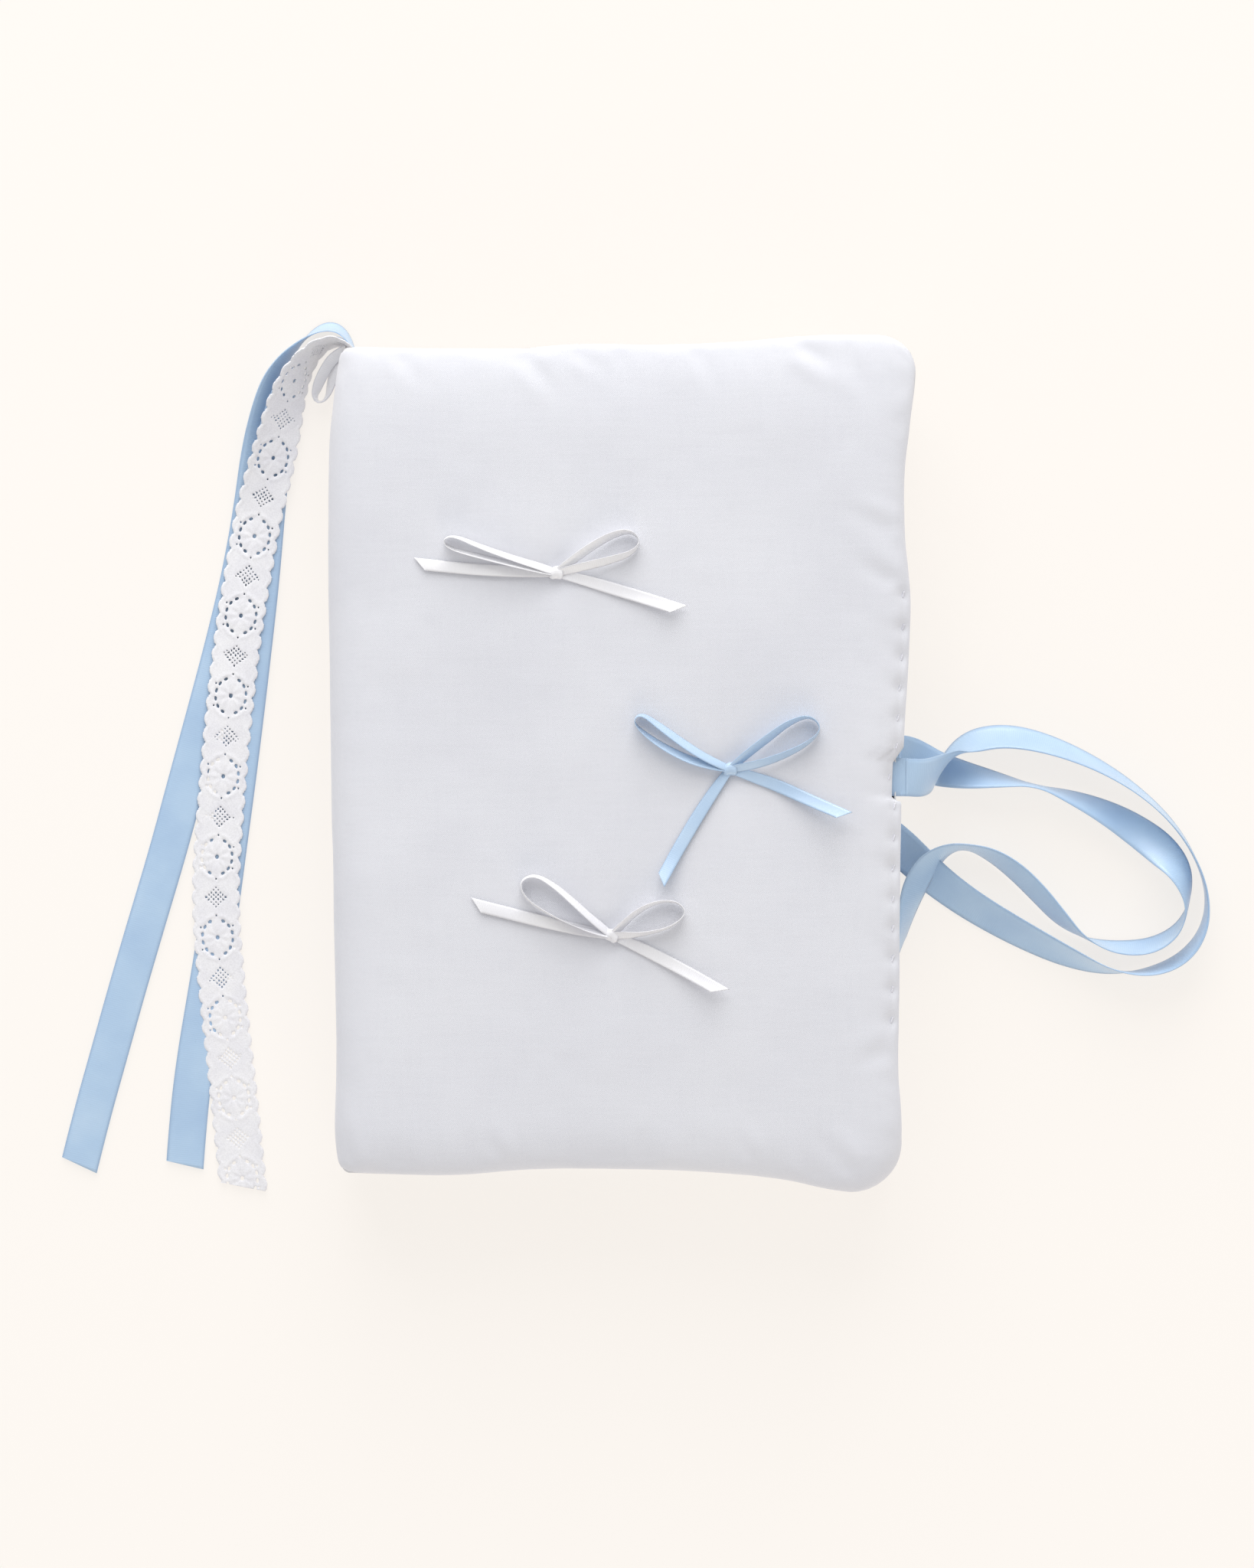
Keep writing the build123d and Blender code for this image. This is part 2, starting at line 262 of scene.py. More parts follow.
def woven_material(name, colour, shade, pitch):
    """Plain-weave cloth: over-and-under threads from warp and weft attributes, slubs, and a slight shade."""
    look = Shading(name, colour, 0.85, Sheen_Weight=0.25, Sheen_Roughness=0.5, Specular_IOR_Level=0.25)
    slub_scale, slub_stretch, weave_share = 700.0, 0.12, 0.35
    warp, weft = [
        look.maths("SINE", look.maths("MULTIPLY", look.attribute(key), 2 * math.pi / pitch))
        for key in ("warp", "weft")]
    slub_along = look.noise(slub_scale, 2.0, (1, slub_stretch, 1))
    slub_across = look.noise(slub_scale, 2.0, (slub_stretch, 1, 1))
    threads = look.maths("ADD", slub_along, slub_across)
    weave = look.maths("MULTIPLY", look.maths("MULTIPLY", warp, weft), weave_share)
    base = look.ramp(look.noise(26.0, 4.0), (0.3, shade), (0.7, colour))
    fleck = look.ramp(threads, (0.7, (0.985, 0.985, 0.987)), (1.0, (1, 1, 1)))
    height = look.maths("ADD", weave, threads)
    return look.finish(look.mix(1.0, base, fleck, "MULTIPLY"), height, 0.5, 0.00006)


def satin_material(name, colour, deep, pale):
    """Satin ribbon: threads that float along the band stretch its shine, with fine ribs and woven edges."""
    look = Shading(name, colour, 0.40, Sheen_Weight=0.3, Sheen_Roughness=0.4, Specular_IOR_Level=0.6,
                   Anisotropic=0.55)
    rib_pitch, rib_share, selvedge_share = 0.55, 0.3, 1.2
    shiniest, dullest = 0.24, 0.38
    to_world = look.nodes.new("ShaderNodeVectorTransform")
    to_world.vector_type = "VECTOR"
    to_world.convert_from = "OBJECT"
    to_world.convert_to = "WORLD"
    look.links.new(look.attribute("wide", "Vector"), to_world.inputs["Vector"])
    look.links.new(to_world.outputs["Vector"], look.inputs["Tangent"])
    ribs = look.maths("SINE", look.maths("MULTIPLY", look.attribute("along"), 2 * math.pi / rib_pitch))
    edge = look.maths("ABSOLUTE", look.attribute("across"))
    selvedge = look.ramp(edge, (0.86, (0, 0, 0)), (0.93, (1, 1, 1)), (1.0, (0.55, 0.55, 0.55)))
    streaks = look.noise(420.0, 3.0)
    height = look.maths("ADD", look.maths("MULTIPLY", ribs, rib_share), streaks)
    height = look.maths("ADD", height, look.maths("MULTIPLY", selvedge, selvedge_share))
    rough = look.nodes.new("ShaderNodeMapRange")
    rough.inputs["To Min"].default_value = shiniest
    rough.inputs["To Max"].default_value = dullest
    look.links.new(streaks, rough.inputs["Value"])
    look.links.new(rough.outputs[0], look.inputs["Roughness"])
    body = look.ramp(look.noise(60.0, 3.0), (0.3, deep), (0.55, colour), (0.8, pale))
    return look.finish(look.mix(selvedge, body, deep), height, 0.35, 0.00008)


def fibre_material(name, colour, shade, scale, roughness, depth, stretch=(1, 1, 1), sheen=0.0):
    """Paper, board, wadding or thread: one noise for the colour and a finer one for the surface."""
    look = Shading(name, colour, roughness, Sheen_Weight=sheen, Specular_IOR_Level=0.3)
    fine = look.noise(scale, 5.0, stretch)
    base = look.ramp(look.noise(scale / 12, 4.0), (0.3, shade), (0.7, colour))
    grain = look.ramp(fine, (0.3, (0.9, 0.9, 0.9)), (0.6, (1, 1, 1)))
    return look.finish(look.mix(1.0, base, grain, "MULTIPLY"), fine, 0.4, depth)


COTTON = woven_material("white_cotton", (0.728, 0.738, 0.783), (0.698, 0.708, 0.758), 0.5)
LINING = woven_material("lining_cotton", (0.80, 0.80, 0.81), (0.77, 0.77, 0.785), 0.42)
BLUE_SATIN = satin_material("blue_satin", (0.43, 0.59, 0.78), (0.38, 0.535, 0.74), (0.49, 0.64, 0.81))
PALE_BLUE_SATIN = satin_material(
    "pale_blue_satin", (0.48, 0.63, 0.81), (0.43, 0.58, 0.77), (0.54, 0.68, 0.84))
WHITE_SATIN = satin_material("white_satin", (0.86, 0.86, 0.88), (0.78, 0.78, 0.82), (0.92, 0.92, 0.93))
LACE = fibre_material("cotton_lace", (0.88, 0.88, 0.90), (0.82, 0.82, 0.86), 2600.0, 0.8, 0.00006, sheen=0.2)
THREAD = fibre_material(
    "white_thread", (0.80, 0.80, 0.84), (0.70, 0.70, 0.76), 3000.0, 0.7, 0.00005, sheen=0.2)
WADDING = fibre_material("wadding", (0.90, 0.90, 0.89), (0.84, 0.84, 0.83), 900.0, 0.95, 0.0003, sheen=0.4)
BOARD = fibre_material("board", (0.36, 0.34, 0.30), (0.30, 0.28, 0.245), 1400.0, 0.9, 0.00005, (1, 0.3, 1))
ENDPAPER = fibre_material("endpaper", (0.80, 0.77, 0.68), (0.76, 0.72, 0.63), 900.0, 0.8, 0.00003)
PAPER = fibre_material("paper", (0.88, 0.835, 0.755), (0.85, 0.80, 0.715), 1100.0, 0.85, 0.00003)
MULL = fibre_material("mull_cloth", (0.78, 0.75, 0.66), (0.66, 0.63, 0.55), 1500.0, 0.95, 0.0001, (1, 1, 0.2))
BAND = fibre_material(
    "end_band", (0.82, 0.83, 0.84), (0.55, 0.62, 0.76), 800.0, 0.6, 0.00006, (1, 0.05, 2), 0.2)

for node, material in (
    ("back_board", BOARD), ("front_board", BOARD), ("spine_board", BOARD), ("endpaper_back", ENDPAPER),
    ("endpaper_front", ENDPAPER), ("mull", MULL), ("head_band", BAND), ("tail_band", BAND),
    ("bookmark_tack", THREAD), ("bow_tacks", THREAD),
):
    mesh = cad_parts[node].data
    mesh.materials.clear()
    mesh.materials.append(material)


def finish_piece(obj, material, node, body=None):
    obj.data.materials.append(material)
    if body:
        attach(obj, body)
    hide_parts(node)
    return obj


# ------------------------------------------------ the padded cover
# One cloth runs from the front's fore-edge, over the front, round the spine and under the back.
# base is the seam surface where it meets the lining; the pad swells out from there.
FRONT_SEAM, BACK_SEAM, SPINE_SEAM = 27.9, 7.0, -73.1
FRONT_TOP, SPINE_WALL = 34.9, -76.1
INSIDE_Z = 17.4      # mid-height, inside the closed cover
LENGTH, HALF_WIDTH = 219.0, 76.0
# how far each edge's roundness reaches in
FORE_REACH, TAIL_REACH, HEAD_REACH, BACK_REACH = 11, 14, 26, 8
CORNER_REACH, CORNER_RISE, CORNER_POWER = 12.0, 9.0, 2.4   # the cloth's turn on to the spine
SEAM_TURN = 1.5      # the radius of its seam side there
FAR_FROM_FORE = 60   # stands for a distance from the fore-edge at which nothing puckers
ROW_ON_FRONT = 40
WALL_TOP, WALL_BOTTOM, WALL_STEP = 25.2, 9.3, 0.8   # the rows down the spine
LIP = 1.8            # how far the seams sit inside the widest line
DROP = 0.34          # the widest line's height, as a share of the pad's thickness
HEAD = curve_through([
    (-78, 106.5), (-71, 108.5), (-50, 108.6), (-26, 108.7), (-12, 109.7), (10, 109.6), (30, 110.3), (50, 112),
    (60, 112.2), (80, 112)])
TAIL = curve_through([
    (-78, -106), (-71, -107.4), (-57, -108.5), (-43, -108.7), (-23, -107.2), (2, -107.2), (20, -107.8),
    (43, -110), (57, -112.8), (80, -113.4)])
FORE = curve_through([
    (-115, 74), (-91, 73.6), (-82, 73), (-62, 73.2), (-11, 73.8), (9, 74.6), (29, 75.8), (42, 76.2),
    (50, 75.6), (60, 74.7), (75, 74.6), (90, 76.2), (100, 77.4), (115, 77.6)])
SPINE = curve_through([
    (-112, -75), (-100, -75.3), (-84, -74.8), (-60, -75.2), (-41, -75.6), (-11, -76.1), (19, -76.5),
    (60, -77), (90, -76.5), (100, -75.9), (112, -75)])
TIE_Y = {"front": -4.1, "back": 2.2}
STITCH_X, STITCH_TOP_Y, STITCH_PITCH, STITCH_COUNT = 73.6, 43.5, 7.95, 15
KNOTS = {"upper": (-17.0, 49.5), "middle": (28.6, -2.0), "lower": (-2.4, -45.6)}
# Short creases beside the head and tail seams: x, y of both ends, depth, half width
CREASES = (
    (-26, 107.5, -17, 97, 0.55, 2.2), (-12, 108, -4, 102, 0.3, 1.8), (47, 109.5, 57, 103, 0.7, 2.2),
    (58, 108, 66, 96, 0.35, 2.4), (-58, 107, -52, 99, 0.3, 2.0), (20, 108.5, 24, 99, 0.25, 1.8),
    (36, -108, 31, -98, 0.35, 2.0), (-30, -106.5, -36, -98, 0.3, 2.0), (60, -108, 52, -98, 0.4, 2.4),
    (71, 47, 62, 53, 0.4, 2.4), (71, 60, 60, 66, 0.3, 2.2), (71, -75, 62, -80, 0.35, 2.4),
)


def round_off(distance, radius):
    """How far a rounded corner cuts in at this distance from where two edges would meet."""
    t = np.clip(distance, 0, radius)
    return radius - np.sqrt(np.maximum(radius ** 2 - (radius - t) ** 2, 0))


def edge_samples(reach, power, count=20):
    """(inset from the widest line, share of the thickness) from the seam up to where the pad is full."""
    low = np.radians(np.linspace(0, 90, 7)[:-1])
    high = np.radians(np.linspace(0, 90, count))
    inset = np.concatenate([LIP * (1 - np.sin(low)), reach * (1 - np.cos(high) ** (2 / power))])
    share = np.concatenate([DROP * (1 - np.cos(low)), DROP + (1 - DROP) * np.sin(high) ** (2 / power)])
    return inset, share


def notch(y):
    """The cloth is drawn in where the front tie is sewn into the seam."""
    return 2.6 * smoothstep(7.0, 5.2, np.abs(y - TIE_Y["front"]))


def front_plan(xn, yn):
    """Where a point of the plain rectangle lies on the front's uneven outline.
    Each round_off takes the distance from where two edges meet, and the corner's radius."""
    x, y = xn.copy(), yn.copy()
    for _ in range(30):
        fore = FORE(y) - round_off(112.2 - y, 9.5) - round_off(y + 113.2, 13) - notch(y)
        spine = SPINE(y) + round_off(109 - y, 2.5) + round_off(y + 107.6, 2.0)
        head = HEAD(x) - round_off(77.6 - x, 9.5) - round_off(x + 77, 2.5)
        tail = TAIL(x) + round_off(73.8 - x, 13) + round_off(x + 76, 2.0)
        across, up = (xn + HALF_WIDTH) / (2 * HALF_WIDTH), (yn + LENGTH / 2) / LENGTH
        x = 0.5 * x + 0.5 * (spine + (fore - spine) * across)
        y = 0.5 * y + 0.5 * (tail + (head - tail) * up)
    return x, y


def back_plan(xn, yn):
    """The back follows the CAD's plain rounded outline."""
    x, y = xn.copy(), yn.copy()
    for _ in range(30):
        fore = 73 - round_off(108 - np.abs(y), 8)
        spine = SPINE(y)
        head = 108 - round_off(73 - x, 8) - round_off(x + 76, 2.0)
        across, up = (xn + HALF_WIDTH) / (2 * HALF_WIDTH), yn / (LENGTH / 2)
        x = 0.5 * x + 0.5 * (spine + (fore - spine) * across)
        y = 0.5 * y + 0.5 * head * up
    return x, y


def pad_thickness(x, y):
    """The front pad's thickness at its full height: a low crown, and soft unevenness in the wadding."""
    crown = 1.1 * (1 - (x / 80) ** 2) * (1 - (y / 118) ** 2)
    uneven = 0.35 * soft_noise(x, y, 34, 3) + 0.16 * soft_noise(x, y, 15, 4)
    return FRONT_TOP - FRONT_SEAM - 0.5 + crown + uneven


def surface_detail(x, y, inset_x, inset_y):
    """Puckers along the seams, creases, and dimples at the stitches and under the knots, in millimetres."""
    fade_y = smoothstep(0, 4, inset_y) * np.exp(-np.maximum(inset_y - 3, 0) / 7)
    fade_x = smoothstep(0, 3, inset_x) * np.exp(-np.maximum(inset_x - 2, 0) / 5)
    d = fade_y * (0.30 * soft_noise(x, y * 0.3, 6.5, 11) + 0.20 * soft_noise(x + y * 0.3, y * 0.2, 3.2, 12))
    d += fade_x * (0.24 * soft_noise(x * 0.3, y, 5.5, 13) + 0.16 * soft_noise(x * 0.2, y + x * 0.3, 3.0, 14))
    d += 0.05 * soft_noise(x, y, 5, 15)
    for x0, y0, x1, y1, depth, width in CREASES:
        ax, ay = x1 - x0, y1 - y0
        t = ((x - x0) * ax + (y - y0) * ay) / (ax * ax + ay * ay)
        off = ((x - x0) * ay - (y - y0) * ax) / math.hypot(ax, ay)
        along = smoothstep(-0.15, 0.15, t) * smoothstep(1.3, 0.4, t)
        d -= depth * along * (np.exp(-(off / width) ** 2) - 0.6 * np.exp(-((off - 1.9 * width) / width) ** 2))
    for kx, ky in KNOTS.values():
        r2 = (x - kx) ** 2 + (y - ky) ** 2
        d -= 0.9 * np.exp(-r2 / 30) + 0.35 * np.exp(-r2 / 260)
    return d


def stitch_positions():
    y = STITCH_TOP_Y - STITCH_PITCH * np.arange(STITCH_COUNT)
    return y + 0.5 * soft_noise(y, 0, 7, 21)


def stitch_line(y):
    """The x of the stitches: just inside the fore-edge."""
    return FORE(y) - 1.9 - 0.6 * notch(y)


def cover_grid(step):
    """The whole cloth as a grid of points. Rows run round the cover, columns from tail to head.
    Returns the grid, its seam side, and the rows where the front's corner ends and the back's starts."""
    fore_in, fore_share = edge_samples(FORE_REACH, 2.5)
    tail_in, tail_share = edge_samples(TAIL_REACH, 2.3)
    head_in, head_share = edge_samples(HEAD_REACH, 2.0)
    back_in, back_share = edge_samples(BACK_REACH, 2.6)
    inner = np.linspace(
        tail_in[-1], LENGTH - head_in[-1], int((LENGTH - TAIL_REACH - HEAD_REACH) / step))[1:-1]
    yn = np.concatenate([tail_in, inner, LENGTH - head_in[::-1]]) - LENGTH / 2
    share_y = np.concatenate([tail_share, np.ones(len(inner)), head_share[::-1]])
    ones = np.ones(len(yn))
    corner_x = SPINE_WALL + CORNER_REACH
    turn = np.radians(np.linspace(0, 90, 22))[1:]
    wall = SPINE(yn)
    rows, base, inset = [], [], []

    def add_row(x, y, z, seam_x, seam_z, from_fore):
        rows.append(np.stack([x, y, z * ones], -1))
        base.append(np.stack([seam_x * ones, y, seam_z * ones], -1))
        inset.append(from_fore * ones)

    def seam_slide(xn):
        """How far the seam side is drawn towards the spine's lining, next to the corner."""
        return (SPINE_SEAM + SEAM_TURN - corner_x) * smoothstep(-46, corner_x, xn)

    def corner_rows(plan, angles, x_end, low, high, seam, side):
        """Turns the cloth between a cover and the spine's wall. Its seam side turns on a small radius."""
        for a in angles:
            s, c = math.sin(a) ** (2 / CORNER_POWER), math.cos(a) ** (2 / CORNER_POWER)
            _, y = plan((SPINE_WALL + CORNER_REACH * (1 - s)) * ones, yn)
            add_row(x_end + (wall - x_end) * s, y, low + (high - low) * c,
                    SPINE_SEAM + SEAM_TURN * (1 - math.sin(a)),
                    seam - side * SEAM_TURN * (1 - math.cos(a)), FAR_FROM_FORE)

    # front, from the fore-edge seam to the start of the spine corner
    flat = np.linspace(HALF_WIDTH - fore_in[-1], corner_x,
                       int((2 * HALF_WIDTH - FORE_REACH - CORNER_REACH) / step))[1:]
    for xn, share in zip([*(HALF_WIDTH - fore_in), *flat], [*fore_share, *np.ones(len(flat))]):
        x, y = front_plan(xn * ones, yn)
        z = FRONT_SEAM + pad_thickness(x, y) * share
        add_row(x, y, z, x + seam_slide(xn), FRONT_SEAM, HALF_WIDTH - xn)
    # over the corner, and down the spine
    x_end, y_end = front_plan(corner_x * ones, yn)
    front_low, back_low = FRONT_TOP - CORNER_RISE, CORNER_RISE
    corner_rows(front_plan, turn, x_end, front_low, FRONT_SEAM + pad_thickness(x_end, y_end), FRONT_SEAM, 1)
    front_end = len(rows)
    y_front = rows[-1][:, 1]
    _, y_back = back_plan(SPINE_WALL * ones, yn)
    seam_high, seam_low = FRONT_SEAM - SEAM_TURN, BACK_SEAM + SEAM_TURN
    for z in np.arange(WALL_TOP, WALL_BOTTOM, -WALL_STEP):
        t = (front_low - z) / (front_low - back_low)
        y = y_front + (y_back - y_front) * t
        bulge = 0.35 * math.sin(math.pi * t) + 0.2 * soft_noise(y, z * ones, 14, 31)
        seam_z = seam_high + (seam_low - seam_high) * t
        add_row(wall - bulge, y, z, SPINE_SEAM, seam_z, FAR_FROM_FORE)
    back_start = len(rows)
    # round under the back, to its fore-edge seam
    x_end, _ = back_plan(corner_x * ones, yn)
    corner_rows(back_plan, turn[::-1], x_end, back_low, 0, BACK_SEAM, -1)
    flat = np.linspace(corner_x, HALF_WIDTH - back_in[-1],
                       int((2 * HALF_WIDTH - BACK_REACH - CORNER_REACH) / step))[:-1]
    for xn, share in zip([*flat, *(HALF_WIDTH - back_in[::-1])], [*np.ones(len(flat)), *back_share[::-1]]):
        x, y = back_plan(xn * ones, yn)
        add_row(x, y, BACK_SEAM * (1 - share), x + seam_slide(xn), BACK_SEAM, HALF_WIDTH - xn)

    rows, base, inset = np.array(rows), np.array(base), np.array(inset)
    grid = base + (rows - base) * share_y[None, :, None]
    normal = grid_normals(grid)
    if normal[ROW_ON_FRONT, len(yn) // 2, 2] < 0:
        normal = -normal
    inset_y = np.broadcast_to(np.minimum(yn + LENGTH / 2, LENGTH / 2 - yn), inset.shape)
    detail = surface_detail(grid[..., 0], grid[..., 1], inset, inset_y)
    # the back is pressed flat by the book's weight, and the spine is smoother than the front
    above_table = np.clip(grid[..., 2] / 6, 0, 1)
    row = np.arange(len(rows))[:, None]
    calm = 1 - 0.75 * ((row >= front_end - 4) & (row <= back_start + 4))
    shown = smoothstep(0, 0.3, np.broadcast_to(share_y, inset.shape)) * above_table * calm
    grid = grid + normal * (detail * shown)[..., None]
    press_stitches(grid)
    grid[..., 2] = np.maximum(grid[..., 2], 0.0)
    return grid, base, front_end, back_start


def press_stitches(grid):
    """A dent at each closing stitch, and a shallow valley along their line."""
    for sy in stitch_positions():
        r2 = (grid[..., 0] - stitch_line(sy)) ** 2 * 0.8 + (grid[..., 1] - sy) ** 2
        grid[..., 2] -= 0.85 * np.exp(-r2 / 2.6) * (grid[..., 2] > 25)
    off_line = np.abs(grid[..., 0] - stitch_line(grid[..., 1]))
    span = smoothstep(STITCH_TOP_Y + 4, STITCH_TOP_Y, grid[..., 1]) * smoothstep(-73, -69, grid[..., 1])
    grid[..., 2] -= 0.35 * np.exp(-(off_line / 0.9) ** 2) * span * (grid[..., 2] > 27)


def thread_coordinates(grid):
    """Where the cloth's threads run: distance down the columns, and along the rows from their middle."""
    warp = np.concatenate([np.zeros((1, grid.shape[1])), np.linalg.norm(np.diff(grid, axis=0), axis=-1)])
    weft = np.concatenate([np.zeros((grid.shape[0], 1)), np.linalg.norm(np.diff(grid, axis=1), axis=-1)], 1)
    weft = np.cumsum(weft, 1)
    return np.cumsum(warp, 0), weft - weft[:, [weft.shape[1] // 2]]


def cloth_slab(name, outer, inner, like):
    """A closed piece of lining cotton between two grids. like is the grid its threads are measured on."""
    warp, weft = thread_coordinates(like)
    return make_object(name, *closed_slab(outer, inner), warp=np.tile(warp.ravel(), 2),
                       weft=np.tile(weft.ravel(), 2))


def bend_at(obj):
    """Bakes obj's placing into its mesh."""
    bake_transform(obj)


def outer_piece(run, rows):
    part = grid[rows]
    warp, weft = thread_coordinates(part)
    warp = np.broadcast_to(warp[:, [warp.shape[1] // 2]], warp.shape)
    obj = make_object(f"outer_cotton_{run}", part, grid_faces(*part.shape[:2]), warp=warp, weft=weft)
    return finish_piece(obj, COTTON, f"outer_cover_{run}")


def lining_piece(run, rows):
    """The lining has the same seam surface, and is half a millimetre thick towards the inside."""
    part = base[rows]
    inward = grid_normals(part)
    middle = part.shape[0] // 2, part.shape[1] // 2
    if inward[middle] @ (np.array([0, 0, INSIDE_Z]) - part[middle]) < 0:
        inward = -inward
    wave = 0.08 * soft_noise(part[..., 0], part[..., 1], 9, 41)[..., None]
    obj = cloth_slab(f"lining_cloth_{run}", part + inward * (0.42 + wave), part, part)
    area = np.linalg.norm(np.cross(np.diff(part, axis=0)[:, :-1], np.diff(part, axis=1)[:-1]), axis=-1).sum()
    width = np.linalg.norm(np.diff(part[:, middle[1]], axis=0), axis=-1).sum()
    return finish_piece(obj, LINING, f"lining_{run}"), float(width), float(area / width)


grid, base, front_end, back_start = cover_grid(1.25)
middle = (front_end + back_start) // 2
cut_front, cut_back = middle - 7, middle + 7
RUNS = {
    "front": slice(0, cut_front + 1), "spine": slice(cut_front, cut_back + 1),
    "back": slice(cut_back, len(grid))}
OUTER = {run: outer_piece(run, rows) for run, rows in RUNS.items()}
COVER_TREE = BVHTree.FromObject(OUTER["front"], bpy.context.evaluated_depsgraph_get())
bend_at(OUTER["front"])
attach(OUTER["spine"], "spine")
bend_at(OUTER["back"])


def cover_top(x, y):
    """The front cloth's height at x, y, in millimetres."""
    hit = COVER_TREE.ray_cast(Vector((x * MM, y * MM, 0.06)), Vector((0, 0, -1)))[0]
    return hit.z / MM


LININGS = {run: lining_piece(run, rows) for run, rows in RUNS.items()}
bend_at(LININGS["front"][0])
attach(LININGS["spine"][0], "spine")
bend_at(LININGS["back"][0])


# ------------------------------------------------ wadding, pocket flaps and pages
def wadding_pad(name, x_range, seam, full, plan, node, body):
    """A soft pad that fills the cloth, 1 mm inside it. full is its height away from the seam, up or down."""
    half_y, edge_width = 105.5, 11
    xn, yn = np.meshgrid(np.linspace(*x_range, 60), np.linspace(-half_y, half_y, 84), indexing="ij")
    x, y = plan(xn, yn)
    end = np.where(yn > 0, 0.45, 0.8) * (half_y - np.abs(yn))  # the cloth slopes down further at the head
    edge = np.minimum(np.minimum(x_range[1] - xn, end), xn - x_range[0])
    share = 0.25 + 0.75 * np.sqrt(1 - (1 - np.clip(edge / edge_width, 0, 1)) ** 2.2)
    tufts = 1 - 0.05 * np.abs(soft_noise(x, y, 4, 51)) - 0.04 * np.abs(soft_noise(x, y, 1.6, 52))
    top = np.stack([x, y, seam + full * share * tufts], -1)
    bottom = np.stack([x, y, np.full_like(x, seam)], -1)
    slab = closed_slab(top, bottom) if full > 0 else closed_slab(bottom, top)
    obj = finish_piece(make_object(name, *slab), WADDING, node, body)


wadding_pad("wadding_pad_front", (-62, 71), FRONT_SEAM + 0.1, 5.6, front_plan, "wadding_front", "front_cover")
wadding_pad("wadding_pad_back", (-62, 69), BACK_SEAM - 0.1, -5.8, back_plan, "wadding_back", "back_cover")


def spine_wadding():
    """The spine's pad, which follows the cloth as it slopes in at the head and tail."""
    seam = SPINE_SEAM - 0.15
    z, y = np.meshgrid(np.linspace(9.5, 25, 14), np.linspace(-103.5, 103.5, 84), indexing="ij")
    tufts = 0.2 * soft_noise(z, y, 4, 53)
    reach = np.where(y > 0, HEAD_REACH, TAIL_REACH)
    share = np.sqrt(1 - (1 - np.clip((LENGTH / 2 - np.abs(y)) / reach, 0, 1)) ** 2)
    outside = np.stack([seam + (SPINE(y) + 1.0 - SPINE_SEAM + tufts) * share, y, z], -1)
    inside = np.stack([np.full_like(z, seam), y, z], -1)
    obj = make_object("wadding_pad_spine", *closed_slab(outside, inside))
    finish_piece(obj, WADDING, "wadding_spine", "spine")


spine_wadding()


def pocket_flap(name, z_face, z_rim, node, body):
    """The cloth pocket over the board: a hem across the board, and three sides that turn up to the seam."""
    half_y, x_hem, x_fore, corner, thick = 107.0, 8.2, 72.4, 4.0, 0.4
    depth = z_rim - z_face
    turn = np.radians(np.linspace(90, 0, 7))
    side_in, side_up = 2.4 * (1 - np.sin(turn)), 1 - np.cos(turn)
    hem_line = np.linspace(x_hem + 0.8, x_hem + 6.5, 5)
    x_line = np.concatenate([[x_hem], hem_line, np.linspace(x_hem + 8, x_fore - 3, 40)])
    y_line = np.linspace(-half_y + 3.4, half_y - 3.4, 130)
    x_at = np.concatenate([x_line, x_fore - side_in[::-1]])
    x_up = np.concatenate([np.zeros(len(x_line)), side_up[::-1]])
    y_at = np.concatenate([-half_y + side_in, y_line, half_y - side_in[::-1]])
    y_up = np.concatenate([side_up, np.zeros(len(y_line)), side_up[::-1]])
    xn, yn = np.meshgrid(x_at, y_at, indexing="ij")
    # the square corners are drawn in to a round
    u = np.clip(1 - (x_fore - xn) / corner, 0, 1)
    v = np.clip(1 - (half_y - np.abs(yn)) / corner, 0, 1)
    x = xn - corner * u * (1 - np.sqrt(1 - v ** 2 / 2))
    y = yn - np.sign(yn) * corner * v * (1 - np.sqrt(1 - u ** 2 / 2))
    rim = np.maximum(x_up[:, None], y_up[None, :])
    hem = 0.35 * smoothstep(x_hem + 6.6, x_hem + 5.6, xn)
    ripple = 0.10 * soft_noise(x, y, 16, 61) * (1 - rim) + 0.12 * soft_noise(x * 0.4, y, 7, 62) * rim
    outer = np.stack([x, y, z_face + rim * depth + (ripple - hem) * math.copysign(1, depth)], -1)
    normal = grid_normals(outer)
    if normal[20, 60, 2] * depth < 0:
        normal = -normal
    inner = outer + normal * thick
    obj = cloth_slab(name, *((outer, inner) if depth < 0 else (inner, outer)), outer)
    finish_piece(obj, LINING, node, body)


pocket_flap("pocket_cloth_front", 24.35, 27.4, "pocket_flap_front", "front_cover")
pocket_flap("pocket_cloth_back", 10.45, 7.5, "pocket_flap_back", "back_cover")


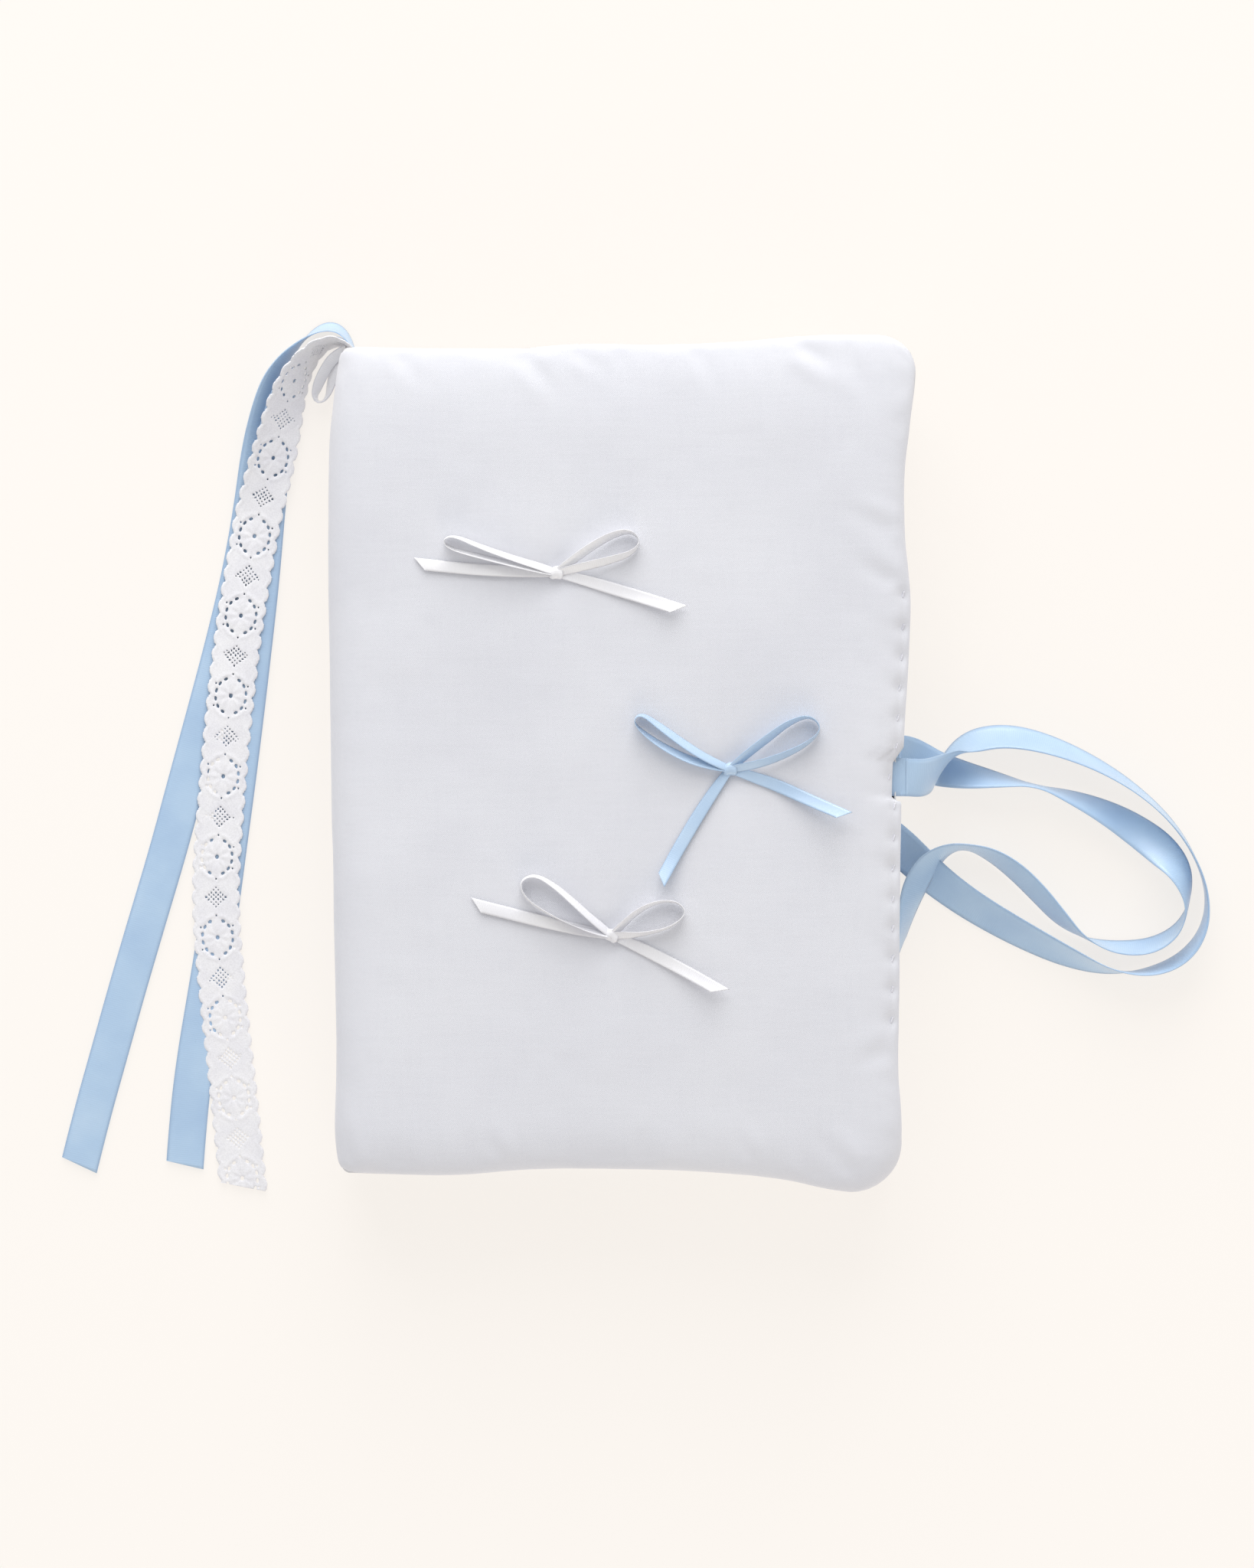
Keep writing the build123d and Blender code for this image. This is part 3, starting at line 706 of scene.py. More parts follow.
def signature(number, body):
    """Folded sheets: thin leaves whose edges don't quite line up."""
    node = f"signature_{number}"
    (x_low, y_low, z_low), (x_high, y_high, z_high) = [[c / MM for c in corner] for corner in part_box(node)]
    leaves, leaf_share, trimmed = 14, 0.86, 1.2
    random = np.random.RandomState(70 + number)
    pitch = (z_high - z_low) / leaves
    points, faces = [], []
    for leaf in range(leaves):
        x0 = x_low + 0.25 * abs(leaf + 0.5 - leaves / 2) / leaves
        x1 = x_high - random.uniform(0, 0.35)
        y0, y1 = y_low + random.uniform(0, 0.3), y_high - random.uniform(0, 0.3)
        z0 = z_low + pitch * leaf
        outline = [(x0, y0), (x1 - trimmed, y0), (x1, y0 + trimmed),
                   (x1, y1 - trimmed), (x1 - trimmed, y1), (x0, y1)]
        start, n = len(points), len(outline)
        points += [(x, y, z) for z in (z0, z0 + pitch * leaf_share) for x, y in outline]
        faces += [[start + k for k in range(n)][::-1], [start + n + k for k in range(n)]]
        faces += [[start + k, start + (k + 1) % n, start + n + (k + 1) % n, start + n + k] for k in range(n)]
    obj = make_object(f"pages_{number}", points, faces, smooth=False)
    finish_piece(obj, PAPER, node, body)


for number, body in enumerate(["first_leaves", "second_leaves", "third_leaves"] + ["back_cover"] * 3, 1):
    signature(number, body)


# ------------------------------------------------ ribbons
def resample(line, extra, step):
    """Even steps along a line of points, and the same steps through the numbers carried beside it."""
    length = np.concatenate([[0], np.cumsum(np.linalg.norm(np.diff(line, axis=0), axis=1))])
    s = np.linspace(0, length[-1], max(int(length[-1] / step), 8) + 1)
    return s, along_columns(s, length, line), along_columns(s, length, extra)


def along_columns(at, positions, values):
    return np.stack([np.interp(at, positions, column) for column in values.T], -1)


def unit(vectors):
    return vectors / np.maximum(np.linalg.norm(vectors, axis=-1, keepdims=True), 1e-6)


def ribbon_grid(route, width, step=1.0, columns=9, cup=0.0, cut=(0.0, 0.0)):
    """A band along a route of (x, y, z, roll[, width share]) points. roll 0 lies flat and 90 stands on edge.
    cut is how far each end's cut slants along the band.
    Returns the grid, its normals, the distance along and across, the width's direction and the centreline."""
    route = [(*p, 1.0) if len(p) == 4 else p for p in route]
    line = spline_line([p[:3] for p in route])
    carried = spline_line([(p[3], p[4] * 100, 0) for p in route])
    s, centre, extra = resample(line, carried, step)
    roll, share = np.radians(extra[:, 0]), extra[:, 1] / 100
    tangent = unit(np.gradient(centre, axis=0))
    flat = unit(tangent * [1, 1, 0])
    side = np.stack([-flat[:, 1], flat[:, 0], np.zeros(len(flat))], -1)
    up = np.cross(tangent, side)
    wide = side * np.cos(roll)[:, None] + up * np.sin(roll)[:, None]
    face = np.cross(tangent, wide)
    across = np.linspace(-1, 1, columns)
    begin = np.clip(1 - s / max(2 * abs(cut[0]), 1e-6), 0, 1)
    end = np.clip(1 - (s[-1] - s) / max(2 * abs(cut[1]), 1e-6), 0, 1)
    at = s[:, None] + across[None, :] * (cut[0] * begin + cut[1] * end)[:, None]
    at = at - (abs(cut[1]) * end)[:, None] + (abs(cut[0]) * begin)[:, None]
    wide = along_columns(at, s, wide)
    normal = along_columns(at, s, face)
    half = np.interp(at, s, share) * width / 2
    grid = along_columns(at, s, centre) + wide * (half * across[None, :])[..., None]
    grid = grid + normal * (cup * (1 - across ** 2))[None, :, None]
    return grid, normal, at, np.broadcast_to(across, at.shape), wide, centre


def band_part(grid, normal, along, across, wide, thickness):
    """A closed thin band from a ribbon grid: points, faces, along, across and the width's direction."""
    points, faces = closed_slab(grid + normal * thickness / 2, grid - normal * thickness / 2)
    along, across = [np.tile(values.ravel(), 2) for values in (along, across)]
    return points, faces, along, across, np.tile(wide.reshape(-1, 3), (2, 1))


def join_parts(name, parts, material, node, body=None):
    """One piece from parts of (points, faces, along, across, the width's direction)."""
    faces, start = [], 0
    for points, part_faces, *_ in parts:
        faces += [[k + start for k in face] for face in part_faces]
        start += len(points)
    points, _, along, across, wide = zip(*parts)
    obj = make_object(name, np.concatenate(points), faces, along=np.concatenate(along),
                      across=np.concatenate(across), wide=np.concatenate(wide))
    return finish_piece(obj, material, node, body)


def lift_to_floor(grid):
    """Keeps a band on the table: what would sink below it is pressed up."""
    height, lowest = grid[..., 2], 0.25
    grid[..., 2] = np.where(height < 1.0, lowest + (1 - lowest) * np.exp(height - 1.0), height)
    return grid


def cord_facts(centre, length, width, far_end="bare"):
    return dict(exit=centre[0] * MM, length=length, diameter=width * MM, far_end=far_end, stiffness="limp",
                lay="loose", path=centre * MM)


def long_ribbon(name, route, width, length, material, node, cut, far_end="bare", cup=0.35):
    grid, *rest, centre = ribbon_grid(route, width, cup=cup, cut=cut)
    obj = join_parts(name, [band_part(lift_to_floor(grid), *rest, RIBBON_THICK)], material, node)
    return obj, cord_facts(centre, length, width, far_end)


RIBBON_WIDTH, RIBBON_THICK, LOOP_WIDTH = 10.0, 0.3, 3.2
TIE_FRONT = [
    (71.0, -4.1, 27.4, 0), (75.9, -4.1, 26.4, 0), (79.2, -4.4, 24.0, 8), (82.4, -3.6, 18.5, 35),
    (85.4, -1.4, 11.5, 75), (88.4, 2.2, 6.6, 110), (93.6, 5.6, 4.4, 128), (100.5, 6.9, 4.4, 128),
    (108, 6.2, 4.6, 125), (117.6, 3.4, 4.9, 117), (128.6, -1.6, 5.1, 108), (138.6, -8.2, 5.2, 101),
    (147.0, -16.2, 5.2, 97), (152.9, -25.2, 5.2, 93), (156.1, -34.8, 5.2, 90), (155.4, -44.4, 5.2, 82),
    (150.2, -52.0, 5.1, 73), (141.6, -56.0, 5.0, 76), (131.0, -56.3, 5.2, 96), (119.2, -52.2, 4.4, 122),
    (106.4, -45.9, 3.8, 136), (94, -38.8, 3.3, 143), (84.8, -32.2, 2.6, 150), (78.2, -26.2, 1.4, 162),
    (74.2, -22.4, 0.8, 172), (70.4, -19.4, 0.5, 178),
]
TIE_BACK = [
    (72.6, 2.2, 8.9, 0), (75.8, 2.1, 7.9, 0), (79.6, 0.2, 5.2, -8), (84.4, -2.0, 3.2, -25),
    (92, -3.7, 3.8, -46), (100.6, -4.9, 4.8, -68), (110.2, -6.3, 5.2, -90), (119.2, -9.2, 4.9, -70),
    (128.2, -13.0, 4.0, -52), (136.6, -17.8, 3.6, -34), (143.6, -23.2, 6.2, -24), (149.0, -29.8, 9.0, -52),
    (150.9, -37.6, 8.4, -82), (148.2, -44.8, 6.4, -102), (141.2, -49.2, 4.8, -114),
    (131.8, -49.6, 4.8, -110), (123.4, -47.0, 5.2, -90), (117, -41.8, 5.1, -68), (111.2, -35.2, 5.0, -62),
    (105.2, -29.2, 5.0, -62), (98.6, -24.6, 5.1, -70), (91.8, -22.3, 5.4, -84), (86.2, -23.4, 5.8, -72),
    (81.4, -27.2, 5.8, -52), (78.2, -32.8, 5.2, -48), (76.2, -39.0, 5.0, -60), (74.9, -45.6, 5.2, -76),
    (73.7, -52.0, 5.2, -86),
]
tie_front, cord = long_ribbon(
    "tie_band_front", TIE_FRONT, RIBBON_WIDTH, 0.220, BLUE_SATIN, "tie_ribbon_front", (0, 2.5))
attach(tie_front, "front_cover")
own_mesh(tie_front)
tie_back, cord = long_ribbon(
    "tie_band_back", TIE_BACK, RIBBON_WIDTH, 0.207, BLUE_SATIN, "tie_ribbon_back", (0, -3))
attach(tie_back, "back_cover")

BOOKMARK_LEFT = [
    (-71, 109.5, 5.4, -92), (-72.8, 113.6, 5.4, -100), (-77.2, 116.2, 5.2, -108), (-82.4, 114.2, 5.1, -98),
    (-86.9, 110.0, 5.0, -82), (-90.3, 105.8, 4.8, -70), (-93.0, 100.6, 4.3, -58), (-94.6, 93.2, 3.4, -42),
    (-96.4, 82, 1.8, -20), (-98.1, 68, 0.7, -5), (-101.3, 50, 0.4, 0), (-105.6, 32, 0.4, 0),
    (-110.4, 14, 0.4, 0), (-115.6, -5, 0.4, 2), (-120.7, -24, 0.5, 4), (-126.1, -42, 0.5, 2),
    (-131.4, -60, 0.4, 0), (-136.7, -79, 0.4, 0), (-141.2, -95, 0.4, 0), (-144.5, -108.4, 0.4, 0),
]
BOOKMARK_RIGHT = [
    (-71, 109.3, 6.0, -90), (-72.6, 111.6, 5.6, -92), (-76.4, 113.4, 5.3, -94), (-80.6, 111.8, 5.2, -88),
    (-84.9, 107.4, 5.0, -76), (-88.2, 101.8, 4.6, -60), (-90.4, 95, 3.8, -42), (-92.8, 83, 2.0, -16),
    (-94.4, 67, 1.1, -4), (-95.9, 49, 1.0, 0), (-97.8, 32, 0.9, 0), (-99.9, 14, 0.8, 0),
    (-102.2, -4.5, 0.7, 0), (-104.7, -23, 0.5, -2), (-107.1, -41.5, 0.4, 0), (-110.1, -60, 0.4, 0),
    (-113.2, -78, 0.4, 0), (-115.2, -94, 0.4, 0), (-116.2, -108.2, 0.4, 0),
]
BOOKMARK_LOOP = [
    (-72.6, 109.2, 9.8, -24), (-75.8, 107.9, 9.0, -22), (-78.6, 104.2, 7.0, -26), (-80.8, 99.8, 4.8, -38),
    (-81.4, 96.6, 3.2, -70), (-80.0, 95.2, 2.8, -94), (-78.2, 97.0, 3.4, -72), (-77.0, 100.8, 4.9, -42),
    (-75.7, 104.8, 6.8, -28), (-74.3, 107.6, 8.0, -28), (-72.6, 108.7, 8.4, -32),
]


def bundle_piece(obj, cord):
    """The bookmarks lie beside the book, and ride with the back cover."""
    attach(obj, "back_cover")
    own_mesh(obj)


bundle_piece(*long_ribbon("bookmark_band_left", BOOKMARK_LEFT, RIBBON_WIDTH, 0.250, BLUE_SATIN,
                          "bookmark_ribbon_left", (0, 1.0)))
bundle_piece(*long_ribbon("bookmark_band_right", BOOKMARK_RIGHT, RIBBON_WIDTH, 0.239, BLUE_SATIN,
                          "bookmark_ribbon_right", (0, 0.8)))
bundle_piece(*long_ribbon("bookmark_band_loop", BOOKMARK_LOOP, LOOP_WIDTH, 0.039, WHITE_SATIN,
                          "bookmark_loop", (0, 0), far_end="object", cup=0.15))

# ------------------------------------------------ lace
LACE_WIDTH, LACE_THICK = 13.0, 0.32
LACE_REPEAT = 21.5
SCALLOPS = 5          # in a repeat
SCALLOP_LOW, SCALLOP_RISE = 5.6, 0.85   # from the lace's middle line
OVAL = 1.18           # the flower is this much longer than wide
EYE_RADIUS, PETAL_RADIUS, LONG_EYELETS_RADIUS, SMALL_EYELETS_RADIUS, RING_RADIUS = 0.5, 2.2, 4.05, 4.95, 5.0
LONG_EYELETS, SMALL_EYELETS, PETALS = 14, 6, 8
LONG_EYELET, SMALL_EYELET, DIAMOND_EYELET = 0.34, 0.24, 0.33   # radii
EYELET_PITCH = 1.28   # in the diamond
DIAMOND = 3.3         # its reach along the lace
STITCH_SIZE = 0.9
SOLID = 1.0
BOOKMARK_LACE = [
    (-71, 109.1, 7.2, -88), (-72.6, 110.8, 7.4, -86), (-76.4, 111.9, 7.6, -80), (-80.6, 110.2, 7.6, -72),
    (-84.4, 106.2, 7.4, -62), (-87.3, 101.0, 6.8, -50), (-89.2, 95, 5.8, -40), (-90.8, 88, 4.8, -30),
    (-92.8, 80, 3.6, -16), (-94.8, 72.5, 2.6, -6), (-96.9, 64, 1.7, 0), (-98.8, 53, 1.6, 0),
    (-100.9, 41, 1.6, 2), (-102.7, 28, 1.5, 2), (-104.3, 14, 1.4, 0), (-105.6, 0, 1.3, -2),
    (-106.8, -14.5, 1.2, 0), (-107.8, -28, 1.1, 2), (-107.9, -40, 1.0, 2), (-107.1, -51, 0.9, 0),
    (-106.0, -63, 0.7, -2), (-104.6, -76, 0.5, 0), (-103.1, -89, 0.4, 0), (-101.9, -101, 0.4, 0),
    (-100.4, -115.2, 0.4, 0),
]


def lace_places(u, v):
    """Where a point lies in the pattern. u runs along the lace and v across it.
    Returns the distance along from the flower's middle, its radius and angle in the flower, and how far it is
    inside the scalloped edge."""
    along = (u + LACE_REPEAT / 2) % LACE_REPEAT - LACE_REPEAT / 2
    scallop = SCALLOP_LOW + SCALLOP_RISE * np.abs(np.sin(math.pi * u / (LACE_REPEAT / SCALLOPS)))
    return along, np.hypot(along / OVAL, v), np.arctan2(v, along / OVAL), scallop - np.abs(v)


def off_spoke(angle, spokes):
    """The angle from the nearest of so many evenly spaced spokes."""
    half = math.pi / spokes
    return (angle + half) % (2 * half) - half


def lace_solid(u, v):
    """Above 0 where there is thread. Closely worked cotton with scalloped edges, where an oval flower takes
    turns with a diamond of eyelets."""
    along, radius, angle, edge = lace_places(u, v)
    # flower: an eye in the middle, and a ring of long eyelets between the petals
    eye = radius - EYE_RADIUS
    turned = off_spoke(angle, LONG_EYELETS) * LONG_EYELETS_RADIUS * 0.62
    long_eyelet = np.hypot(radius - LONG_EYELETS_RADIUS, turned) - LONG_EYELET
    long_eyelet = np.where(np.abs(np.sin(angle)) < 0.22, SOLID, long_eyelet)
    turned = off_spoke(angle, SMALL_EYELETS) * SMALL_EYELETS_RADIUS
    small_eyelet = np.hypot(radius - SMALL_EYELETS_RADIUS, turned) - SMALL_EYELET
    small_eyelet = np.where(np.abs(v) > 4.6, SOLID, small_eyelet)
    # diamond: rows of small eyelets
    between = LACE_REPEAT / 2 - np.abs(along)
    half = EYELET_PITCH / 2
    p, q = (between + v + half) % EYELET_PITCH - half, (between - v + half) % EYELET_PITCH - half
    inside = np.abs(between) + np.abs(v) * 0.9 < DIAMOND
    eyelets = np.where(inside, np.hypot(p, q) - DIAMOND_EYELET, SOLID)
    return np.minimum.reduce([edge, eye, long_eyelet, small_eyelet, eyelets])


def lace_relief(u, v):
    """The worked thickness of the lace: raised petals, a ring round them and cords along the scallops."""
    _, radius, angle, edge = lace_places(u, v)
    petals = np.exp(-((radius - PETAL_RADIUS) / 1.1) ** 2) * (0.5 + 0.5 * np.cos(PETALS * angle))
    ring = np.exp(-((radius - RING_RADIUS) / 0.4) ** 2)
    cord = np.exp(-((edge - 0.7) / 0.35) ** 2)
    stitches = 0.5 + 0.5 * np.sin(u * 2 * math.pi / STITCH_SIZE) * np.sin(v * 2 * math.pi / STITCH_SIZE)
    return 0.16 * petals + 0.12 * ring + 0.14 * cord + 0.06 * stitches


def lace_band():
    cell, probe = 0.3, 0.02
    columns = int(LACE_WIDTH / cell) + 1
    grid, normal, u, across, _, centre = ribbon_grid(
        BOOKMARK_LACE, LACE_WIDTH, step=cell, columns=columns, cup=0.25, cut=(0, 2.0))
    v = across * LACE_WIDTH / 2
    # move each point next to an edge of the pattern on to that edge, so that holes come out round
    here = lace_solid(u, v)
    gu = (lace_solid(u + probe, v) - here) / probe
    gv = (lace_solid(u, v + probe) - here) / probe
    slope = np.maximum(gu * gu + gv * gv, 0.25)
    near = np.abs(here) < 0.6 * cell
    du, dv = [np.where(near, -here * g / slope, 0).clip(-0.5 * cell, 0.5 * cell) for g in (gu, gv)]
    along, aside = [unit(np.gradient(grid, axis=axis)) for axis in (0, 1)]
    grid = grid + along * du[..., None] + aside * dv[..., None]
    grid = lift_to_floor(grid)
    grid = grid + normal * (0.10 * smoothstep(0, 0.5, here) + lace_relief(u, v))[..., None]
    cell_u, cell_v = [(a[:-1, :-1] + a[1:, 1:]) / 2 for a in (u, v)]
    index = np.arange(grid.shape[0] * columns).reshape(-1, columns)
    quads = np.stack([index[:-1, :-1], index[:-1, 1:], index[1:, 1:], index[1:, :-1]], -1)
    used, quads = np.unique(quads[lace_solid(cell_u, cell_v) > 0], return_inverse=True)
    quads, count = quads.reshape(-1, 4), len(used)
    top, bottom = [(grid + side * normal * LACE_THICK / 2).reshape(-1, 3)[used] for side in (1, -1)]
    # walls stand on the sides that only one quad has
    sides = np.concatenate([quads[:, [k, (k + 1) % 4]] for k in range(4)]).tolist()
    twins = {(a, b) for a, b in sides}
    walls = [[b, a, a + count, b + count] for a, b in sides if (b, a) not in twins]
    faces = quads.tolist() + (quads[:, ::-1] + count).tolist() + walls
    obj = make_object("bookmark_band_lace", np.concatenate([top, bottom]), faces,
                      along=np.tile(u.ravel()[used], 2), across=np.tile(across.ravel()[used], 2))
    finish_piece(obj, LACE, "bookmark_lace")
    bundle_piece(obj, cord_facts(centre, 0.240, LACE_WIDTH))


lace_band()


# ------------------------------------------------ bows, stitches and tacks
BOW_WIDTH, BOW_THICK = 3.3, 0.18


def bow_strip(route, cut):
    """A strip along (x, y, lift, roll, width share) points laid on the front cloth."""
    clearance = 0.25
    placed = []
    for x, y, lift, roll, share in route:
        stands = BOW_WIDTH / 2 * share * abs(math.sin(math.radians(roll)))
        placed.append((x, y, cover_top(x, y) + clearance + stands + lift, roll, share))
    return band_part(*ribbon_grid(placed, BOW_WIDTH, step=0.5, columns=7, cup=0.12, cut=cut)[:-1], BOW_THICK)


def knot_part(x, y, angle):
    """The band wound round the middle of a bow: pleated, and pinched at its ends."""
    half_length, half_width, half_height, lift = 1.8, 1.6875, 1.15, 1.3
    turn, t = np.meshgrid(np.linspace(0, 2 * math.pi, 37), np.linspace(-1, 1, 11), indexing="ij")
    pleats = 1 + 0.07 * np.sin(2 * turn + 3.1 * t) + 0.05 * np.cos(5 * t + turn)
    swell = (1 - 0.35 * t ** 4) * pleats
    a, b = math.cos(angle), math.sin(angle)
    along = t * half_length
    side = half_width * np.cos(turn) * swell
    up = half_height * np.sin(turn) * swell
    grid = np.stack([x + along * a - side * b, y + along * b + side * a, cover_top(x, y) + lift + up], -1)
    rows, columns = grid.shape[:2]
    ends = np.arange(rows - 1) * columns
    caps = [(ends + columns - 1).tolist(), ends[::-1].tolist()]
    wide = np.broadcast_to([a, b, 0.0], (turn.size, 3))
    return grid.reshape(-1, 3), grid_faces(rows, columns) + caps, turn.ravel() * 1.2, t.ravel(), wide


# Each bow: material, slot, the knot's angle, and its strips: left tail, left loop, right loop, right tail
BOWS = {
    "upper": (WHITE_SATIN, "white_satin", 0.1, [
        ([(-17, 49.5, 0.8, 10, 0.6), (-21, 49.6, 0.5, 14, 0.8), (-30, 49.9, 0.2, 16, 0.95),
          (-42, 50.6, 0.1, 12, 0.95), (-54.6, 52.0, 0.1, 8, 0.95)], (0, -1.7)),
        ([(-17, 49.6, 1.0, 20, 0.55), (-21.5, 51.2, 0.9, 50, 0.85), (-28, 53.2, 0.5, 62, 1),
          (-37, 56.4, 0.3, 66, 1), (-44.0, 59.4, 0.3, 78, 1), (-46.8, 58.2, 0.3, 90, 1),
          (-45.2, 55.9, 0.3, 104, 1), (-37, 53.8, 0.5, 112, 1), (-28, 51.6, 0.8, 116, 0.95),
          (-21.5, 50.3, 1.0, 130, 0.8), (-17, 49.5, 1.1, 160, 0.55)], (0, 0)),
        ([(-17, 49.6, 1.0, 20, 0.55), (-13, 52.6, 0.9, 42, 0.85), (-8, 56.2, 0.5, 50, 1),
          (-2.5, 59.4, 0.3, 58, 1), (2.4, 60.6, 0.3, 74, 1), (5.4, 57.9, 0.3, 90, 1),
          (3.0, 54.6, 0.3, 110, 1), (-3.4, 52.6, 0.5, 128, 1), (-11, 50.8, 0.9, 134, 0.9),
          (-17, 49.5, 1.1, 160, 0.55)], (0, 0)),
        ([(-17, 49.4, 0.8, 170, 0.6), (-12, 48.3, 0.4, 176, 0.85), (-3, 45.6, 0.2, 178, 1),
          (8, 42.3, 0.2, 168, 1), (16.8, 39.4, 1.7, 160, 1)], (0, -1.9)),
    ]),
    "middle": (PALE_BLUE_SATIN, "blue_satin", 0.15, [
        ([(28.6, -2, 0.8, 10, 0.6), (25.6, -6, 0.4, 10, 0.85), (20.6, -13.6, 0.2, 8, 1),
          (15.4, -22.4, 0.2, 8, 1), (12.4, -27.8, 0.9, 16, 1), (9.9, -32.4, 3.0, 18, 1)], (0, 1.6)),
        ([(28.6, -2, 1.0, 20, 0.55), (23.5, 0.2, 0.8, 46, 0.85), (17, 4.2, 0.5, 50, 1),
          (10, 9.4, 0.3, 58, 1), (5.2, 12.8, 0.3, 76, 1), (3.0, 10.6, 0.3, 92, 1), (6.4, 7.0, 0.3, 112, 1),
          (13.5, 2.4, 0.5, 124, 1), (21.5, -0.9, 0.8, 134, 0.9), (28.6, -2, 1.1, 160, 0.55)], (0, 0)),
        ([(28.6, -2, 1.0, 20, 0.55), (32.6, 1.6, 0.9, 44, 0.85), (38.4, 6.0, 0.5, 52, 1),
          (44, 10.2, 0.3, 64, 1), (49.6, 12.2, 0.3, 80, 1), (53.0, 8.6, 0.3, 92, 1),
          (49.0, 4.6, 0.3, 108, 1), (42, 1.2, 0.5, 122, 1), (34.5, -1.2, 0.9, 132, 0.9),
          (28.6, -2, 1.1, 160, 0.55)], (0, 0)),
        ([(28.6, -2, 0.8, 170, 0.6), (33.4, -3.6, 0.4, 176, 0.85), (41.4, -6.4, 0.2, 178, 1),
          (50.4, -10.6, 1.2, 162, 1), (59.8, -14.6, 4.8, 156, 1)], (0, -1.6)),
    ]),
    "lower": (WHITE_SATIN, "white_satin", -0.35, [
        ([(-2.4, -45.6, 0.8, 10, 0.6), (-7.6, -44.9, 0.4, 14, 0.85), (-17, -42.8, 0.2, 12, 1),
          (-28, -40.2, 0.1, 8, 1), (-39.8, -37.2, 0.1, 6, 1)], (0, -1.8)),
        ([(-2.4, -45.6, 1.0, 20, 0.55), (-6.4, -42.4, 0.9, 50, 0.85), (-11.6, -37.6, 0.5, 58, 1),
          (-17, -32.8, 0.3, 66, 1), (-22.6, -29.4, 0.3, 78, 1), (-26.8, -31.4, 0.3, 86, 1),
          (-25.2, -36.0, 0.3, 84, 1), (-18.5, -40.4, 0.4, 82, 1), (-9.5, -44.2, 0.8, 100, 0.9),
          (-2.4, -45.6, 1.1, 150, 0.55)], (0, 0)),
        ([(-2.4, -45.6, 1.0, 20, 0.55), (0.6, -42.6, 0.9, 56, 0.85), (4.6, -39.0, 0.5, 66, 1),
          (10, -36.6, 0.3, 76, 1), (15.2, -36.8, 0.3, 84, 1), (17.4, -40.0, 0.3, 90, 1),
          (13.0, -43.6, 0.3, 98, 1), (6.6, -45.2, 0.4, 106, 1), (1.6, -45.6, 0.8, 124, 0.9),
          (-2.4, -45.6, 1.1, 160, 0.55)], (0, 0)),
        ([(-2.4, -45.6, 0.8, 170, 0.6), (1.8, -47.3, 0.4, 176, 0.85), (8.6, -50.6, 0.2, 178, 1),
          (17.4, -55.2, 0.4, 168, 1), (27.6, -61.0, 2.8, 160, 1)], (0, -2.0)),
    ]),
}
for bow, (material, slot, angle, strips) in BOWS.items():
    parts = [bow_strip(route, cut) for route, cut in strips] + [knot_part(*KNOTS[bow], angle)]
    join_parts(f"ribbon_bow_{bow}", parts, material, f"bow_{bow}", "front_cover")


def thread_part(centre, radius, sides=8):
    """A round thread along a short line of points, thinner at its ends."""
    tangent = unit(np.gradient(centre, axis=0))
    side = unit(np.cross(tangent, [0.31, 0.17, 0.93]))
    other = np.cross(tangent, side)
    a = np.linspace(0, 2 * math.pi, sides, endpoint=False)
    ring = side[:, None] * np.cos(a)[None, :, None] + other[:, None] * np.sin(a)[None, :, None]
    taper = np.ones(len(centre))
    taper[[0, -1]] = 0.35
    grid = centre[:, None] + ring * (radius * taper)[:, None, None]
    count = len(centre) * sides
    caps = [list(range(sides))[::-1], list(range(count - sides, count))]
    along = np.repeat(np.arange(len(centre)) * 0.3, sides)
    faces = grid_faces(len(centre), sides, closed=True) + caps
    return grid.reshape(-1, 3), faces, along, np.zeros(count), np.zeros((count, 3))


def closing_stitches():
    """Slip stitches that close the turning gap: each is a short slanted thread pulled into the cloth."""
    half_length, thread_radius, lift, sink = 0.95, 0.21, 0.16, 0.42
    parts = []
    t = np.linspace(-1, 1, 9)
    for k, y in enumerate(stitch_positions()):
        slant = 0.55 + 0.12 * math.sin(2.3 * k)
        px, py = float(stitch_line(y)) + t * slant * 0.5, y + t * half_length
        pz = np.array([cover_top(a, b) for a, b in zip(px, py)]) + lift - sink * t ** 4
        parts.append(thread_part(np.stack([px, py, pz], -1), thread_radius))
    join_parts("hand_stitches", parts, THREAD, "closing_stitches", "front_cover")


closing_stitches()


